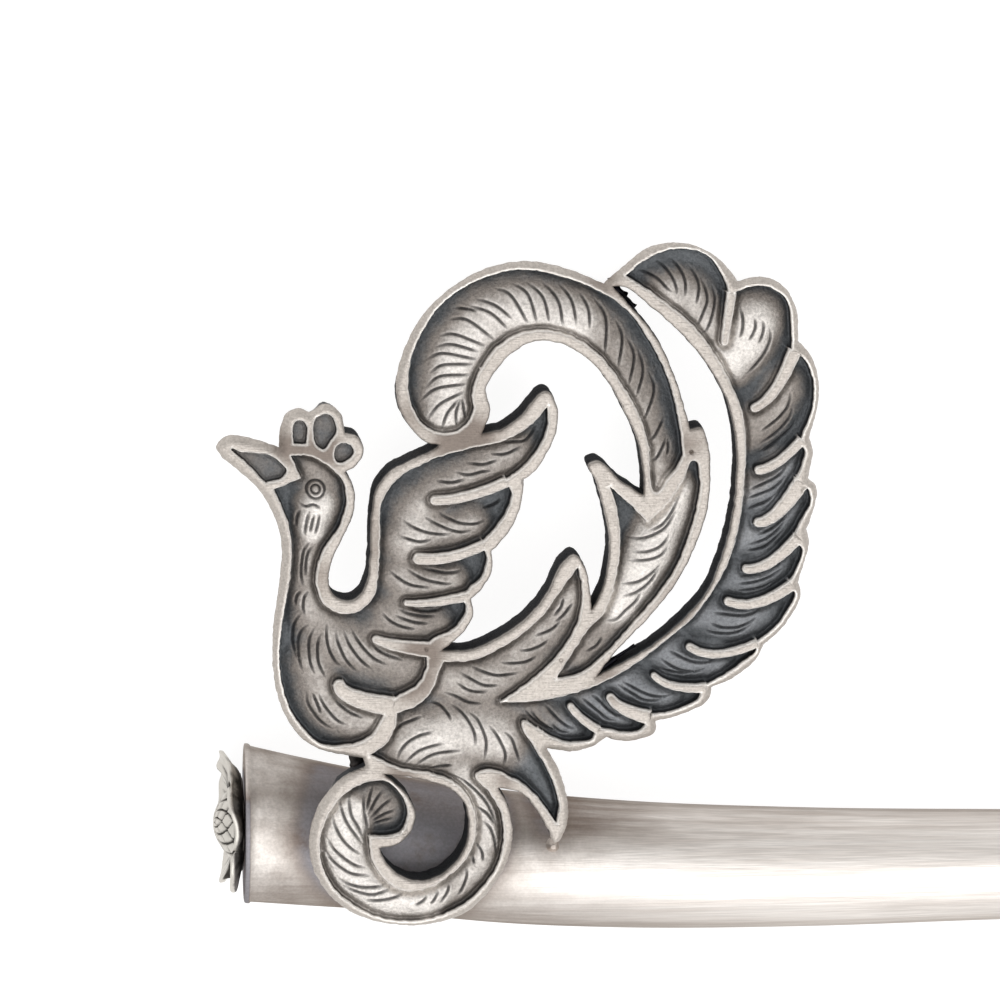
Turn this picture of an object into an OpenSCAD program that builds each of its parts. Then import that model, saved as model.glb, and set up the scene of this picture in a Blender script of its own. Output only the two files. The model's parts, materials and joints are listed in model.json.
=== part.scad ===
// Binyeo: a long silver hairpin with a cast phoenix soldered to the front of its head.
// Units are millimetres. The straight stem runs along X to its tip, and the casting
// faces up. The whole pin lies on its back, as it would rest on a table.

/* [Stem] */
// Diameter of the straight part of the stem
stem_d = 7.1; // [6.9:0.05:7.3]
// Place along the stem where its flare ends and the straight part begins
straight_x = 70; // [66:1:80]
// Place along the stem where the pointed tip begins
shoulder_x = 190.3; // [160:0.1:200]
// Wall of the hollow stem
stem_wall = 0.8; // [0.5:0.05:1.2]
// Thickness of the plate that closes the head end
end_plate = 0.6; // [0.4:0.05:1.2]
// How far the rim of the head end stands out
end_lip = 0.12; // [0.05:0.01:0.2]

/* [Casting] */
// Thickness of the cast plate
plate_t = 3.0; // [2.6:0.1:3.4]
// Depth of the sunk cells below the flat rim
cell_depth = 1.5; // [1.0:0.1:1.8]
// Height of the plate's back above the stem's middle line
plate_back = 5.15; // [5.1:0.05:5.3]
// Shift of the casting towards the head end
plate_in = 0.85; // [0:0.05:1.5]
// Shift of the casting up from the stem
plate_up = 1.75; // [1.2:0.05:2]
// Turn of the casting against the stem
plate_turn = 0.7; // [0:0.1:1]
// Length of the short straight steps along the curved outlines
outline_step = 0.95; // [0.8:0.05:1.6]

/* [Relief] */
// Height of the raised feathers, as a share of their own tables
relief = 1.0; // [0.7:0.05:1.1]
// Radius of the raised eye
eye_r = 0.56; // [0.4:0.02:0.7]

/* [Rosette] */
// Number of petals
petals = 5; // [5:1:6]
// Distance of each petal's middle from the rosette's middle
petal_ring = 2.5; // [2.3:0.1:2.7]
// Radius of one petal
petal_r = 2.3; // [2.0:0.1:2.5]
// Radius of the ball that each cupped petal is cut from
petal_ball = 3.9; // [3.5:0.1:5]
// Thickness of a petal
petal_t = 0.38; // [0.3:0.02:0.5]
// Radius of the seed dome
dome_r = 2.35; // [2.0:0.05:2.6]
// Height of the seed dome
dome_h = 1.15; // [0.8:0.05:1.3]

/* [Hidden] */
$fn = 72;
turn_x = 50;
cell_floor = plate_t - cell_depth;
flare_sides = 36;
petal_steps = 10;
peg_r = 1.5;
peg_h = 0.25;
dome_base = 0.65;
fit_gap = 0.05;
eye = [4.85, 25.5];
eye_h = 1.3;

// The outline tables are as the eye sees the front from a little above and to the left.
// The front itself is this much wider and taller, and leans this much towards the head.
face_wide = 1.0055;
face_tall = 1.0222;
face_lean = 0.0221;

// Middle line and diameter of the flared head of the stem.
// columns: place along the stem, height of the middle line, diameter
FLARE = [
    [0, 3.62, 10.54],
    [3.5, 3.05, 10.02],
    [7.1, 2.50, 9.53],
    [12, 1.75, 9.25],
    [17.1, 1.10, 9.05],
    [25.1, 0.45, 8.66],
    [37.1, 0.05, 8.13],
    [50.5, 0, 7.55],
    [straight_x - 2, 0, stem_d + 0.02]
];
LIP = [
    [0, FLARE[0][1], FLARE[0][2] + 2 * end_lip],
    [0.35, FLARE[0][1] - 0.05, FLARE[0][2] + 2 * end_lip],
    [0.45, FLARE[0][1] - 0.06, FLARE[0][2]]
];
FLOOR = [end_plate, FLARE[0][1] - 0.1, FLARE[0][2] - 0.1];
JOIN = [straight_x + 0.6, 0, stem_d];

// Pointed tip, measured on from its shoulder.
// columns: distance past the shoulder, share of the stem's radius
TIP = [
    [0, 1],
    [1.3, 0.92],
    [2.4, 0.80],
    [4.8, 0.31],
    [5.6, 0.10]
];

// Resting pose. The pin lies on three points: the rim of its head end, the shoulder of
// its tip, and the back of the casting at its topmost point. A plane that touches all
// three gives the roll about the stem and the pitch along it.
top = on_face(29.02, 41.85) + [-turn_x - plate_in, plate_up];
top_x = turn_x + top[0] * cos(plate_turn) + top[1] * sin(plate_turn);
top_y = top[1] * cos(plate_turn) - top[0] * sin(plate_turn);
head_r = LIP[0][2] / 2;
head_y = LIP[0][1];
top_share = top_x / shoulder_x;
span_y = top_y - (1 - top_share) * head_y;
span_z = head_r - top_share * (head_r - stem_d / 2);
rest_roll = asin(span_z / norm([span_y, plate_back])) + atan2(plate_back, span_y);
head_drop = head_y * sin(rest_roll) + head_r;
rest_pitch = atan((head_drop - stem_d / 2) / shoulder_x);

// Shifts that bring the middle of the pin's box over the origin, and its foot to zero.
// The outermost points are the tip, the beak, the stem's lower side and the tail.
tip_x = shoulder_x + TIP[len(TIP) - 1][0];
beak_x = -3.13;
low_y = -4.0;
high_y = top_y * cos(rest_roll) + (plate_back + plate_t) * sin(rest_roll);
rest_x = (tip_x + beak_x) / 2;
rest_y = (high_y + low_y) / 2;
rest_z = head_drop * cos(rest_pitch);

// Outlines of the casting, in plate millimetres seen from the front.
// columns of every outline: right, up, 1 at a sharp corner
OUTLINE = [
    [-1.70, 28.30, 0], [-1.20, 28.90, 0], [0.60, 28.85, 0], [2.45, 28.25, 1],
    [2.55, 29.60, 0], [2.95, 30.50, 0], [3.75, 30.85, 0], [4.50, 30.60, 1],
    [5.70, 31.15, 0], [6.50, 30.60, 0], [6.80, 29.20, 1], [7.60, 29.00, 0],
    [8.05, 28.10, 0], [7.60, 27.15, 0], [6.80, 26.65, 1], [7.40, 25.50, 0],
    [7.40, 24.20, 0], [6.65, 22.30, 0], [5.90, 20.70, 0], [5.70, 19.40, 0],
    [5.95, 18.55, 0], [6.70, 18.05, 0], [7.60, 18.25, 0], [8.25, 19.30, 0],
    [8.45, 20.80, 0], [8.60, 24.00, 0], [8.95, 25.60, 0], [9.75, 26.60, 0],
    [11.20, 27.40, 0], [12.60, 28.05, 0], [13.10, 28.45, 1], [12.30, 28.60, 0],
    [11.20, 29.55, 0], [10.45, 30.80, 0], [10.20, 32.50, 0], [10.70, 34.50, 0],
    [12.00, 37.00, 0], [14.00, 38.90, 0], [16.20, 40.10, 0], [18.90, 40.60, 0],
    [21.60, 40.10, 0], [24.05, 39.15, 1], [25.45, 40.35, 0], [27.20, 41.60, 0],
    [29.00, 41.85, 0], [31.00, 41.25, 0], [32.30, 40.20, 0], [32.95, 39.30, 1],
    [34.60, 39.60, 0], [36.10, 38.90, 0], [36.90, 37.40, 0], [37.05, 35.35, 1],
    [37.90, 34.35, 0], [38.40, 32.80, 0], [38.40, 31.20, 0], [37.80, 28.90, 1],
    [38.07, 28.10, 0], [37.95, 27.20, 0], [37.75, 26.20, 1], [38.30, 25.60, 0],
    [38.25, 24.50, 0], [37.65, 22.80, 1], [37.85, 21.90, 0], [37.60, 20.80, 0],
    [37.10, 19.20, 1], [37.30, 18.60, 0], [36.75, 17.10, 0], [35.80, 15.90, 0],
    [34.85, 15.00, 1], [34.40, 14.20, 0], [33.00, 12.95, 0], [31.35, 12.15, 1],
    [31.15, 11.40, 0], [29.80, 10.55, 0], [27.60, 9.90, 1], [27.60, 9.30, 0],
    [26.50, 8.70, 0], [25.50, 8.55, 0], [24.30, 8.85, 1], [23.40, 8.25, 0],
    [22.20, 7.90, 0], [20.30, 8.10, 1], [21.10, 6.60, 0], [21.60, 5.00, 0],
    [21.72, 3.80, 0], [21.45, 2.50, 0], [20.85, 1.75, 0], [20.40, 2.60, 0],
    [19.50, 4.10, 0], [18.45, 5.20, 0], [17.00, 5.50, 1], [17.65, 4.30, 0],
    [17.97, 2.70, 0], [17.80, 1.00, 0], [17.10, -0.60, 0], [16.10, -1.90, 0],
    [14.80, -3.00, 0], [13.00, -3.65, 0], [11.00, -3.85, 0], [9.00, -3.60, 0],
    [7.20, -2.95, 0], [5.60, -1.65, 0], [4.60, 0.10, 0], [4.35, 1.90, 0],
    [4.75, 3.75, 0], [5.70, 5.30, 0], [6.90, 6.40, 0], [8.15, 6.95, 1],
    [7.95, 7.50, 1], [6.80, 7.70, 0], [5.20, 8.05, 0], [4.00, 8.70, 0],
    [3.00, 9.95, 0], [2.25, 11.80, 0], [1.97, 14.00, 0], [2.05, 16.60, 0],
    [2.45, 19.50, 0], [2.60, 21.80, 0], [2.05, 23.80, 0], [0.95, 25.60, 0],
    [-0.50, 26.90, 0], [-1.50, 27.80, 0]
];

WING_GAP = [
    [15.90, 29.15, 1], [17.30, 29.50, 0], [18.60, 30.45, 0], [19.40, 31.45, 0],
    [20.20, 32.00, 0], [20.90, 31.10, 0], [20.95, 29.90, 0], [20.30, 28.00, 0],
    [19.50, 26.80, 0], [18.72, 26.15, 1], [18.62, 25.10, 0], [18.30, 23.80, 0],
    [17.50, 22.40, 0], [16.55, 21.40, 1], [16.62, 20.20, 0], [16.00, 19.00, 0],
    [15.22, 18.20, 1], [15.32, 17.20, 0], [14.75, 16.10, 0], [13.95, 15.30, 0],
    [13.15, 14.70, 1], [15.00, 14.72, 0], [17.20, 15.65, 0], [19.00, 16.95, 0],
    [20.35, 18.65, 0], [21.30, 20.50, 0], [22.05, 21.10, 0], [22.75, 20.40, 0],
    [23.10, 19.00, 0], [23.25, 17.35, 1], [23.95, 18.70, 0], [24.35, 20.60, 0],
    [24.42, 22.40, 0], [24.10, 24.00, 0], [23.50, 26.10, 0], [23.12, 27.20, 0],
    [23.55, 27.35, 0], [25.00, 26.20, 0], [26.75, 25.05, 1], [26.65, 27.00, 0],
    [26.25, 28.90, 0], [25.45, 30.60, 0], [24.30, 32.70, 0], [22.80, 34.30, 0],
    [21.10, 35.22, 0], [19.50, 35.35, 0], [18.10, 34.70, 0], [16.80, 33.30, 0],
    [16.20, 32.20, 0], [16.45, 30.80, 0]
];

TAIL_GAP = [
    [24.60, 39.00, 1], [25.85, 37.60, 0], [27.40, 35.80, 0], [28.65, 33.30, 0],
    [29.50, 30.70, 0], [29.80, 29.45, 1], [30.50, 29.60, 0], [30.95, 28.70, 0],
    [31.15, 26.50, 0], [31.00, 24.30, 0], [30.20, 21.80, 0], [29.00, 19.40, 0],
    [27.00, 16.85, 0], [25.00, 14.80, 0], [23.50, 12.90, 1], [25.00, 13.70, 0],
    [27.20, 14.95, 0], [29.30, 16.70, 0], [30.90, 18.50, 0], [31.95, 20.90, 0],
    [32.60, 23.40, 0], [32.92, 26.20, 0], [32.88, 28.80, 0], [32.35, 31.10, 0],
    [31.10, 33.55, 0], [29.40, 35.65, 0], [27.10, 37.70, 0], [25.20, 39.00, 0]
];

CURL_GAP = [
    [9.30, 6.45, 1], [10.70, 6.30, 0], [12.40, 5.95, 0], [13.90, 5.40, 0],
    [14.80, 4.30, 0], [15.03, 3.00, 0], [14.80, 1.50, 0], [14.05, 0.35, 0],
    [12.95, -0.52, 0], [11.60, -0.80, 0], [10.40, -0.40, 0], [9.45, 0.50, 0],
    [9.05, 1.45, 1], [10.20, 1.72, 0], [11.10, 2.50, 0], [11.45, 3.70, 0],
    [11.00, 4.85, 0], [10.10, 5.80, 0]
];

BEAK_CELL = [
    [-0.70, 28.05, 1], [0.30, 28.00, 0], [1.70, 27.80, 0], [2.60, 27.25, 0],
    [3.00, 26.60, 1], [1.55, 25.90, 1], [1.00, 26.50, 0], [0.10, 27.30, 0]
];

CREST_CELL_A = [
    [3.35, 28.60, 1], [3.38, 29.50, 0], [3.80, 30.05, 0], [4.25, 29.50, 0],
    [4.30, 28.50, 1]
];

CREST_CELL_B = [
    [4.70, 29.20, 0], [4.95, 30.28, 0], [5.65, 30.52, 0], [6.25, 29.50, 0],
    [5.90, 28.70, 0], [5.35, 28.12, 0], [4.88, 28.45, 0]
];

CREST_CELL_C = [
    [6.55, 28.60, 0], [7.20, 28.45, 0], [7.42, 28.00, 0], [7.00, 27.45, 0],
    [6.30, 27.25, 0], [6.10, 27.90, 0]
];

BODY_CELL = [
    [3.20, 27.75, 1], [4.40, 27.75, 0], [5.65, 27.10, 0], [6.70, 26.00, 0],
    [6.90, 24.70, 0], [6.50, 23.10, 0], [5.45, 21.60, 0], [4.90, 20.00, 0],
    [5.00, 18.60, 0], [5.60, 17.65, 0], [6.70, 17.20, 0], [7.90, 17.50, 0],
    [8.70, 18.35, 0], [9.00, 20.00, 0], [9.12, 22.50, 0], [9.25, 24.60, 0],
    [10.00, 25.90, 0], [12.05, 27.25, 0], [15.10, 28.25, 0], [17.50, 28.80, 0],
    [19.30, 29.90, 0], [20.35, 31.15, 1], [20.30, 29.70, 0], [19.40, 27.80, 0],
    [18.50, 26.85, 0], [17.40, 26.05, 1], [17.90, 25.35, 0], [17.60, 24.10, 0],
    [16.80, 22.90, 0], [15.90, 21.95, 1], [16.25, 20.90, 0], [16.00, 19.80, 0],
    [15.10, 18.90, 0], [14.60, 18.35, 1], [14.85, 17.60, 0], [13.90, 16.05, 0],
    [12.60, 15.45, 0], [12.20, 14.80, 1], [12.25, 13.80, 0], [11.60, 12.40, 0],
    [10.30, 11.65, 0], [9.60, 11.00, 1], [9.15, 10.00, 0], [8.50, 9.00, 0],
    [6.60, 8.35, 0], [5.00, 8.50, 0], [3.90, 9.55, 0], [2.95, 11.10, 0],
    [2.47, 13.00, 0], [2.42, 15.20, 0], [2.75, 17.50, 0], [3.15, 19.80, 0],
    [3.25, 21.60, 0], [2.90, 23.60, 0], [2.05, 25.50, 1], [3.85, 26.25, 1]
];

ARC_CELL = [
    [13.45, 29.22, 0], [12.15, 29.70, 0], [11.25, 31.10, 0], [11.05, 33.20, 0],
    [11.80, 35.70, 0], [13.25, 37.80, 0], [15.70, 39.40, 0], [18.50, 40.10, 0],
    [21.10, 39.68, 0], [23.70, 38.70, 0], [25.70, 37.30, 0], [27.20, 35.15, 0],
    [28.30, 33.00, 0], [29.00, 30.40, 0], [29.25, 28.80, 0], [29.30, 27.75, 0],
    [28.30, 26.20, 0], [27.42, 25.30, 0], [27.18, 26.20, 0], [27.05, 28.30, 0],
    [26.50, 30.20, 0], [25.35, 32.35, 0], [23.60, 34.55, 0], [21.60, 35.80, 0],
    [19.60, 36.08, 0], [17.60, 35.45, 0], [16.00, 33.70, 0], [15.30, 31.90, 0],
    [15.35, 30.60, 0], [14.70, 29.65, 0]
];

PLUME_CELL = [
    [30.10, 27.42, 0], [30.50, 26.30, 0], [30.35, 24.50, 0], [29.70, 22.20, 0],
    [28.90, 20.20, 0], [27.50, 18.20, 0], [25.80, 16.25, 0], [24.20, 14.50, 0],
    [22.40, 13.15, 0], [20.85, 12.80, 1], [21.55, 13.95, 0], [22.65, 15.60, 0],
    [23.15, 16.30, 0], [23.95, 17.10, 0], [24.65, 18.80, 0], [25.05, 20.60, 0],
    [25.15, 22.60, 0], [24.90, 24.30, 0], [24.45, 25.70, 1], [25.50, 24.80, 0],
    [27.00, 23.30, 1], [28.40, 24.70, 0], [29.40, 26.20, 0]
];

TAIL_CELL = [
    [25.45, 39.70, 1], [27.00, 40.90, 0], [29.00, 41.50, 0], [31.00, 41.00, 0],
    [32.00, 39.60, 0], [32.45, 38.45, 1], [33.60, 38.95, 0], [35.00, 39.00, 0],
    [36.25, 38.10, 0], [36.57, 36.40, 0], [36.60, 34.70, 1], [37.35, 34.25, 0],
    [38.05, 32.80, 0], [38.05, 31.00, 0], [37.50, 29.50, 0], [37.10, 28.65, 1],
    [37.52, 28.10, 0], [37.30, 27.10, 0], [36.85, 25.95, 1], [37.75, 25.45, 0],
    [37.95, 24.70, 0], [37.25, 23.35, 0], [36.70, 22.20, 1], [37.42, 21.40, 0],
    [37.15, 20.40, 0], [36.30, 19.00, 1], [36.92, 18.50, 0], [36.50, 17.50, 0],
    [35.60, 16.25, 0], [34.15, 15.15, 1], [34.35, 14.75, 0], [33.60, 14.05, 0],
    [32.20, 13.05, 0], [30.65, 12.20, 1], [30.50, 11.55, 0], [29.50, 10.90, 0],
    [28.20, 10.50, 0], [26.95, 10.40, 1], [26.75, 9.50, 0], [25.60, 9.18, 0],
    [24.60, 9.38, 0], [23.55, 9.50, 1], [23.35, 8.80, 0], [22.40, 8.55, 0],
    [21.00, 8.72, 0], [19.60, 9.50, 0], [18.60, 9.93, 0], [18.60, 9.55, 0],
    [19.20, 8.60, 0], [20.10, 7.10, 0], [20.85, 5.40, 0], [21.10, 4.20, 0],
    [20.92, 3.05, 1], [20.20, 4.10, 0], [19.10, 5.40, 0], [17.80, 6.22, 0],
    [16.40, 6.70, 0], [15.55, 6.45, 0], [16.40, 5.20, 0], [17.20, 3.80, 0],
    [17.40, 2.30, 0], [17.10, 0.60, 0], [16.20, -1.00, 0], [14.80, -2.30, 0],
    [13.00, -3.20, 0], [11.00, -3.55, 0], [9.00, -3.28, 0], [7.20, -2.35, 0],
    [5.90, -1.20, 0], [5.15, 0.50, 0], [5.07, 2.10, 0], [5.60, 3.70, 0],
    [6.80, 5.20, 0], [8.40, 5.95, 0], [9.40, 6.00, 0], [10.60, 4.90, 0],
    [10.95, 3.80, 0], [10.50, 2.60, 0], [9.60, 2.25, 0], [8.35, 2.25, 1],
    [8.50, 0.90, 0], [9.20, -0.40, 0], [10.40, -1.33, 0], [12.00, -1.32, 0],
    [13.60, -0.50, 0], [14.95, 0.90, 0], [15.52, 2.90, 0], [15.20, 4.50, 0],
    [14.10, 5.85, 0], [12.60, 6.45, 0], [10.40, 6.85, 0], [8.40, 7.75, 1],
    [9.40, 8.40, 0], [10.10, 9.60, 0], [10.25, 10.55, 1], [11.60, 11.10, 0],
    [12.70, 12.30, 0], [13.10, 13.50, 0], [13.40, 14.00, 1], [15.00, 14.05, 0],
    [17.50, 15.10, 0], [19.70, 16.80, 0], [21.50, 19.20, 0], [22.35, 20.35, 1],
    [22.65, 18.60, 0], [22.20, 16.30, 0], [21.00, 14.40, 0], [19.20, 12.70, 0],
    [17.15, 11.25, 1], [19.00, 11.30, 0], [21.50, 11.70, 0], [23.80, 12.50, 0],
    [26.00, 13.70, 0], [28.20, 15.40, 0], [30.00, 16.90, 0], [31.40, 18.80, 0],
    [32.50, 20.90, 0], [33.15, 23.40, 0], [33.45, 26.00, 0], [33.55, 28.50, 0],
    [33.35, 30.40, 0], [32.30, 33.00, 0], [30.20, 36.15, 0], [27.55, 38.35, 0]
];

// Barbs: flat tapered bars that stand between the feathers, level with the rim.
// columns: tip right, tip up, middle right, middle up, root right, root up,
// width at the tip, width at the root
BARBS = [
    [12.80, 24.75, 15.00, 25.05, 17.60, 26.00, 0.60, 0.65],
    [11.70, 20.87, 13.80, 20.97, 16.10, 21.80, 0.72, 0.60],
    [10.90, 17.90, 12.60, 17.93, 15.00, 18.35, 0.34, 0.62],
    [8.85, 15.45, 10.50, 15.02, 12.90, 14.75, 0.50, 1.05],
    [6.40, 12.35, 7.40, 11.55, 10.00, 10.95, 0.80, 1.30],
    [32.07, 35.32, 32.30, 36.80, 32.55, 38.60, 0.45, 0.62],
    [34.10, 30.90, 35.50, 32.15, 36.80, 34.75, 0.50, 0.85],
    [34.42, 26.76, 35.75, 27.35, 37.30, 28.80, 0.55, 0.60],
    [34.42, 23.27, 35.70, 23.95, 37.30, 26.00, 0.58, 1.05],
    [33.62, 20.17, 35.20, 20.60, 37.10, 22.30, 0.55, 0.75],
    [32.42, 17.97, 34.40, 17.90, 36.70, 19.10, 0.55, 0.70],
    [29.85, 14.92, 31.80, 14.45, 34.40, 15.20, 0.50, 0.50],
    [27.45, 12.98, 28.90, 12.28, 31.00, 12.20, 0.40, 0.60],
    [24.55, 11.52, 25.50, 10.75, 27.20, 10.20, 0.55, 0.95],
    [21.88, 10.92, 22.60, 10.15, 23.70, 9.35, 0.45, 0.55]
];

// Raised feathers, body and curl: each a long low swell on the floor of its cell.
// columns: line of points along the middle, half width, height
SWELLS = [
    [[[4.60, 26.60], [4.85, 24.40], [4.50, 22.40]], 1.35, 1.10],
    [[[4.20, 21.80], [3.95, 19.20], [4.10, 16.80]], 0.60, 0.85],
    [[[4.60, 17.20], [5.60, 15.80], [8.20, 14.40], [11.20, 13.70]], 1.35, 1.20],
    [[[3.90, 14.30], [4.60, 12.00], [6.00, 10.20], [8.20, 9.80]], 1.00, 1.05],
    [[[10.20, 23.00], [12.40, 26.20], [16.00, 27.60], [19.40, 29.40]], 0.85, 0.95],
    [[[10.40, 22.20], [12.60, 22.90], [15.00, 23.10], [17.20, 24.60]], 1.05, 1.15],
    [[[10.00, 20.00], [12.00, 19.40], [14.00, 19.45], [15.70, 20.40]], 0.75, 1.00],
    [[[9.20, 17.30], [11.00, 16.50], [12.90, 16.60], [14.30, 17.30]], 0.85, 1.00],
    [[[14.10, 30.20], [13.40, 32.40], [14.20, 35.20], [16.60, 37.20], [19.60, 38.00],
        [22.60, 37.20], [25.00, 35.00], [26.70, 32.00], [27.70, 29.20], [28.10, 27.00]],
        1.45, 1.15],
    [[[29.60, 25.90], [28.80, 22.80], [27.20, 19.80], [25.20, 17.20], [22.20, 14.10]],
        1.05, 1.10],
    [[[26.60, 39.20], [28.60, 39.60], [30.40, 38.60], [31.10, 36.40]], 0.85, 1.10],
    [[[32.60, 33.60], [33.60, 35.20], [34.70, 37.80]], 1.15, 1.20],
    [[[34.30, 29.40], [36.00, 30.90], [37.00, 33.20]], 0.85, 1.10],
    [[[33.80, 25.60], [35.40, 25.90], [36.80, 27.40]], 0.55, 1.00],
    [[[33.80, 22.10], [35.60, 22.80], [37.20, 24.60]], 0.62, 1.00],
    [[[32.80, 19.20], [34.80, 19.50], [36.50, 20.80]], 0.60, 1.00],
    [[[30.80, 16.50], [33.20, 16.30], [35.90, 17.60]], 0.90, 1.05],
    [[[28.20, 14.30], [30.40, 13.50], [32.70, 13.90]], 0.55, 0.95],
    [[[25.40, 12.60], [27.20, 11.60], [29.40, 11.40]], 0.70, 1.00],
    [[[22.80, 11.60], [24.20, 10.50], [26.00, 9.90]], 0.52, 1.00],
    [[[19.20, 10.60], [20.80, 9.75], [22.60, 9.20]], 0.55, 1.00],
    [[[13.90, 13.00], [17.20, 13.40], [20.20, 15.80], [22.00, 18.80]], 1.05, 1.15],
    [[[10.30, 8.10], [12.60, 9.00], [15.20, 9.20], [17.60, 8.60]], 1.70, 1.25],
    [[[18.90, 8.20], [19.60, 6.60], [20.40, 4.60]], 0.50, 0.95],
    [[[14.90, 6.00], [16.30, 4.00], [16.30, 1.40], [14.90, -0.90], [12.20, -2.40],
        [9.40, -2.30], [7.10, -0.70], [6.40, 1.60], [6.90, 3.60]], 0.80, 1.05],
    [[[7.90, 4.40], [9.20, 4.25], [10.20, 3.50]], 1.05, 1.15]
];

// Lumps of solder behind the casting, which reach down to the stem.
// columns: right, up, radius at the stem, radius at the casting, depth
SOLDER = [
    [20.95, 2.30, 0.55, 0.62, 0.62],
    [17.20, -1.30, 1.60, 1.20, 0.52],
    [7.60, 6.90, 0.40, 0.50, 0.60],
    [5.40, 2.60, 0.60, 0.70, 0.12]
];

function unit(v) = v / max(norm(v), 0.0001);
function on_face(x, y) = [turn_x + (x - turn_x) * face_wide - y * face_lean, y * face_tall];
function at(t, i) =
    let (p = t[(i + len(t)) % len(t)])
    on_face(p[0], p[1]);

// Direction of the outline at a point: that of the circle through it and its
// neighbours, or straight on to the next point at a sharp corner.
function heading(t, i, ahead) =
    let (back = at(t, i) - at(t, i - 1))
    let (on = at(t, i + 1) - at(t, i))
    t[i % len(t)][2] == 1
        ? unit(ahead ? on : back)
        : unit(unit(back) * norm(on) + unit(on) * norm(back));

function hermite(a, b, da, db, s) =
    (2 * s * s * s - 3 * s * s + 1) * a
    + (s * s * s - 2 * s * s + s) * da
    + (3 * s * s - 2 * s * s * s) * b
    + (s * s * s - s * s) * db;

// Points of a smooth closed outline through the rows of a table.
function smooth(t, step) = [
    for (i = [0 : len(t) - 1])
        let (a = at(t, i))
        let (b = at(t, i + 1))
        let (far = norm(b - a))
        let (da = heading(t, i, true) * far)
        let (db = heading(t, i + 1, false) * far)
        let (n = max(1, ceil(far / step - 0.3)))
        for (k = [0 : n - 1])
            hermite(a, b, da, db, k / n)
];

// Point and half width along a barb, from its tip to its root.
function barb_mid(b, s) =
    (1 - s) * (1 - s) * on_face(b[0], b[1])
    + 2 * s * (1 - s) * on_face(2 * b[2] - (b[0] + b[4]) / 2, 2 * b[3] - (b[1] + b[5]) / 2)
    + s * s * on_face(b[4], b[5]);
function barb_way(b, s) = unit(barb_mid(b, s + 0.05) - barb_mid(b, s - 0.05));
function barb_half(b, s) = (b[6] + (b[7] - b[6]) * s) / 2;
function left_of(v) = [-v[1], v[0]];
function over(p, z) = [p[0], p[1], z];

// Open line through a few points, as a spline.
function line_way(p, i) =
    i == 0 ? p[1] - p[0]
    : i == len(p) - 1 ? p[i] - p[i - 1]
    : (p[i + 1] - p[i - 1]) / 2;
function line_at(p, s) =
    let (u = s * (len(p) - 1))
    let (i = min(len(p) - 2, floor(u)))
    hermite(p[i], p[i + 1], line_way(p, i), line_way(p, i + 1), u - i);

module ring(table) {
    polygon(smooth(table, outline_step));
}

module plate_shape() {
    difference() {
        ring(OUTLINE);
        ring(WING_GAP);
        ring(TAIL_GAP);
        ring(CURL_GAP);
    }
}

module barb_shape(b) {
    steps = 5;
    side = [
        for (k = [0 : steps])
            barb_mid(b, k / steps) + left_of(barb_way(b, k / steps)) * barb_half(b, k / steps)
    ];
    other = [
        for (k = [steps : -1 : 0])
            barb_mid(b, k / steps) - left_of(barb_way(b, k / steps)) * barb_half(b, k / steps)
    ];
    polygon(concat(side, other));
    translate(on_face(b[0], b[1]))
        circle(r = b[6] / 2, $fn = 14);
}

module cell_shape() {
    difference() {
        union() {
            ring(BEAK_CELL);
            ring(CREST_CELL_A);
            ring(CREST_CELL_B);
            ring(CREST_CELL_C);
            ring(BODY_CELL);
            ring(ARC_CELL);
            ring(PLUME_CELL);
            ring(TAIL_CELL);
        }
        for (b = BARBS)
            barb_shape(b);
    }
}

// Closed solid skinned over a stack of rings, with a point at each end.
module skin(first, rings, last) {
    n = len(rings[0]);
    points = concat([first], [for (ring = rings) each ring], [last]);
    end = len(points) - 1;
    faces = [
        for (k = [0 : n - 1])
            let (m = (k + 1) % n)
            each concat(
                [[0, 1 + k, 1 + m]],
                [for (i = [0 : len(rings) - 2])
                    let (a = 1 + i * n)
                    each [[a + m, a + k, a + n + k], [a + m, a + n + k, a + n + m]]],
                [[end, end - n + m, end - n + k]]
            )
    ];
    polyhedron(points = points, faces = faces);
}

// A long low swell with an arched section, pointed at both ends.
module swell(row) {
    p = [for (point = row[0]) on_face(point[0], point[1])];
    runs = 2 * len(p) + 1;
    root = cell_floor - 0.3;
    rings = [
        for (k = [1 : runs - 1])
            let (s = k / runs)
            let (side = left_of(unit(line_at(p, s + 0.01) - line_at(p, s - 0.01))))
            let (full = pow(sin(180 * s), 0.55))
            let (rise = row[2] * relief * full)
            concat(
                [for (u = [1, 0.6, 0, -0.6, -1])
                    over(line_at(p, s) + side * u * row[1] * full, cell_floor + rise * (1 - u * u))],
                [for (u = [-1, 1]) over(line_at(p, s) + side * u * row[1] * full, root)]
            )
    ];
    skin(over(p[0], cell_floor), rings, over(p[len(p) - 1], cell_floor));
}

module lump(row) {
    translate(over(on_face(row[0], row[1]), -row[4]))
        cylinder(r1 = row[2], r2 = row[3], h = row[4] + 0.2);
}

// Seats the casting's own frame in front of the stem.
module on_plate() {
    translate([turn_x, 0, plate_back])
        rotate([0, 0, -plate_turn])
            translate([-turn_x - plate_in, plate_up, 0])
                children();
}

// Lays the whole pin on its back on the table, centred on the origin.
module at_rest() {
    translate([-rest_x, -rest_y, rest_z])
        rotate([0, rest_pitch, 0])
            rotate([-rest_roll, 0, 0])
                children();
}

// A ring of points round the stem's middle line.
function flare_ring(row, shrink) = [
    for (k = [0 : flare_sides - 1])
        let (r = row[2] / 2 - shrink)
        [row[0], row[1] + r * cos(360 / flare_sides * k), r * sin(360 / flare_sides * k)]
];

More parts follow.
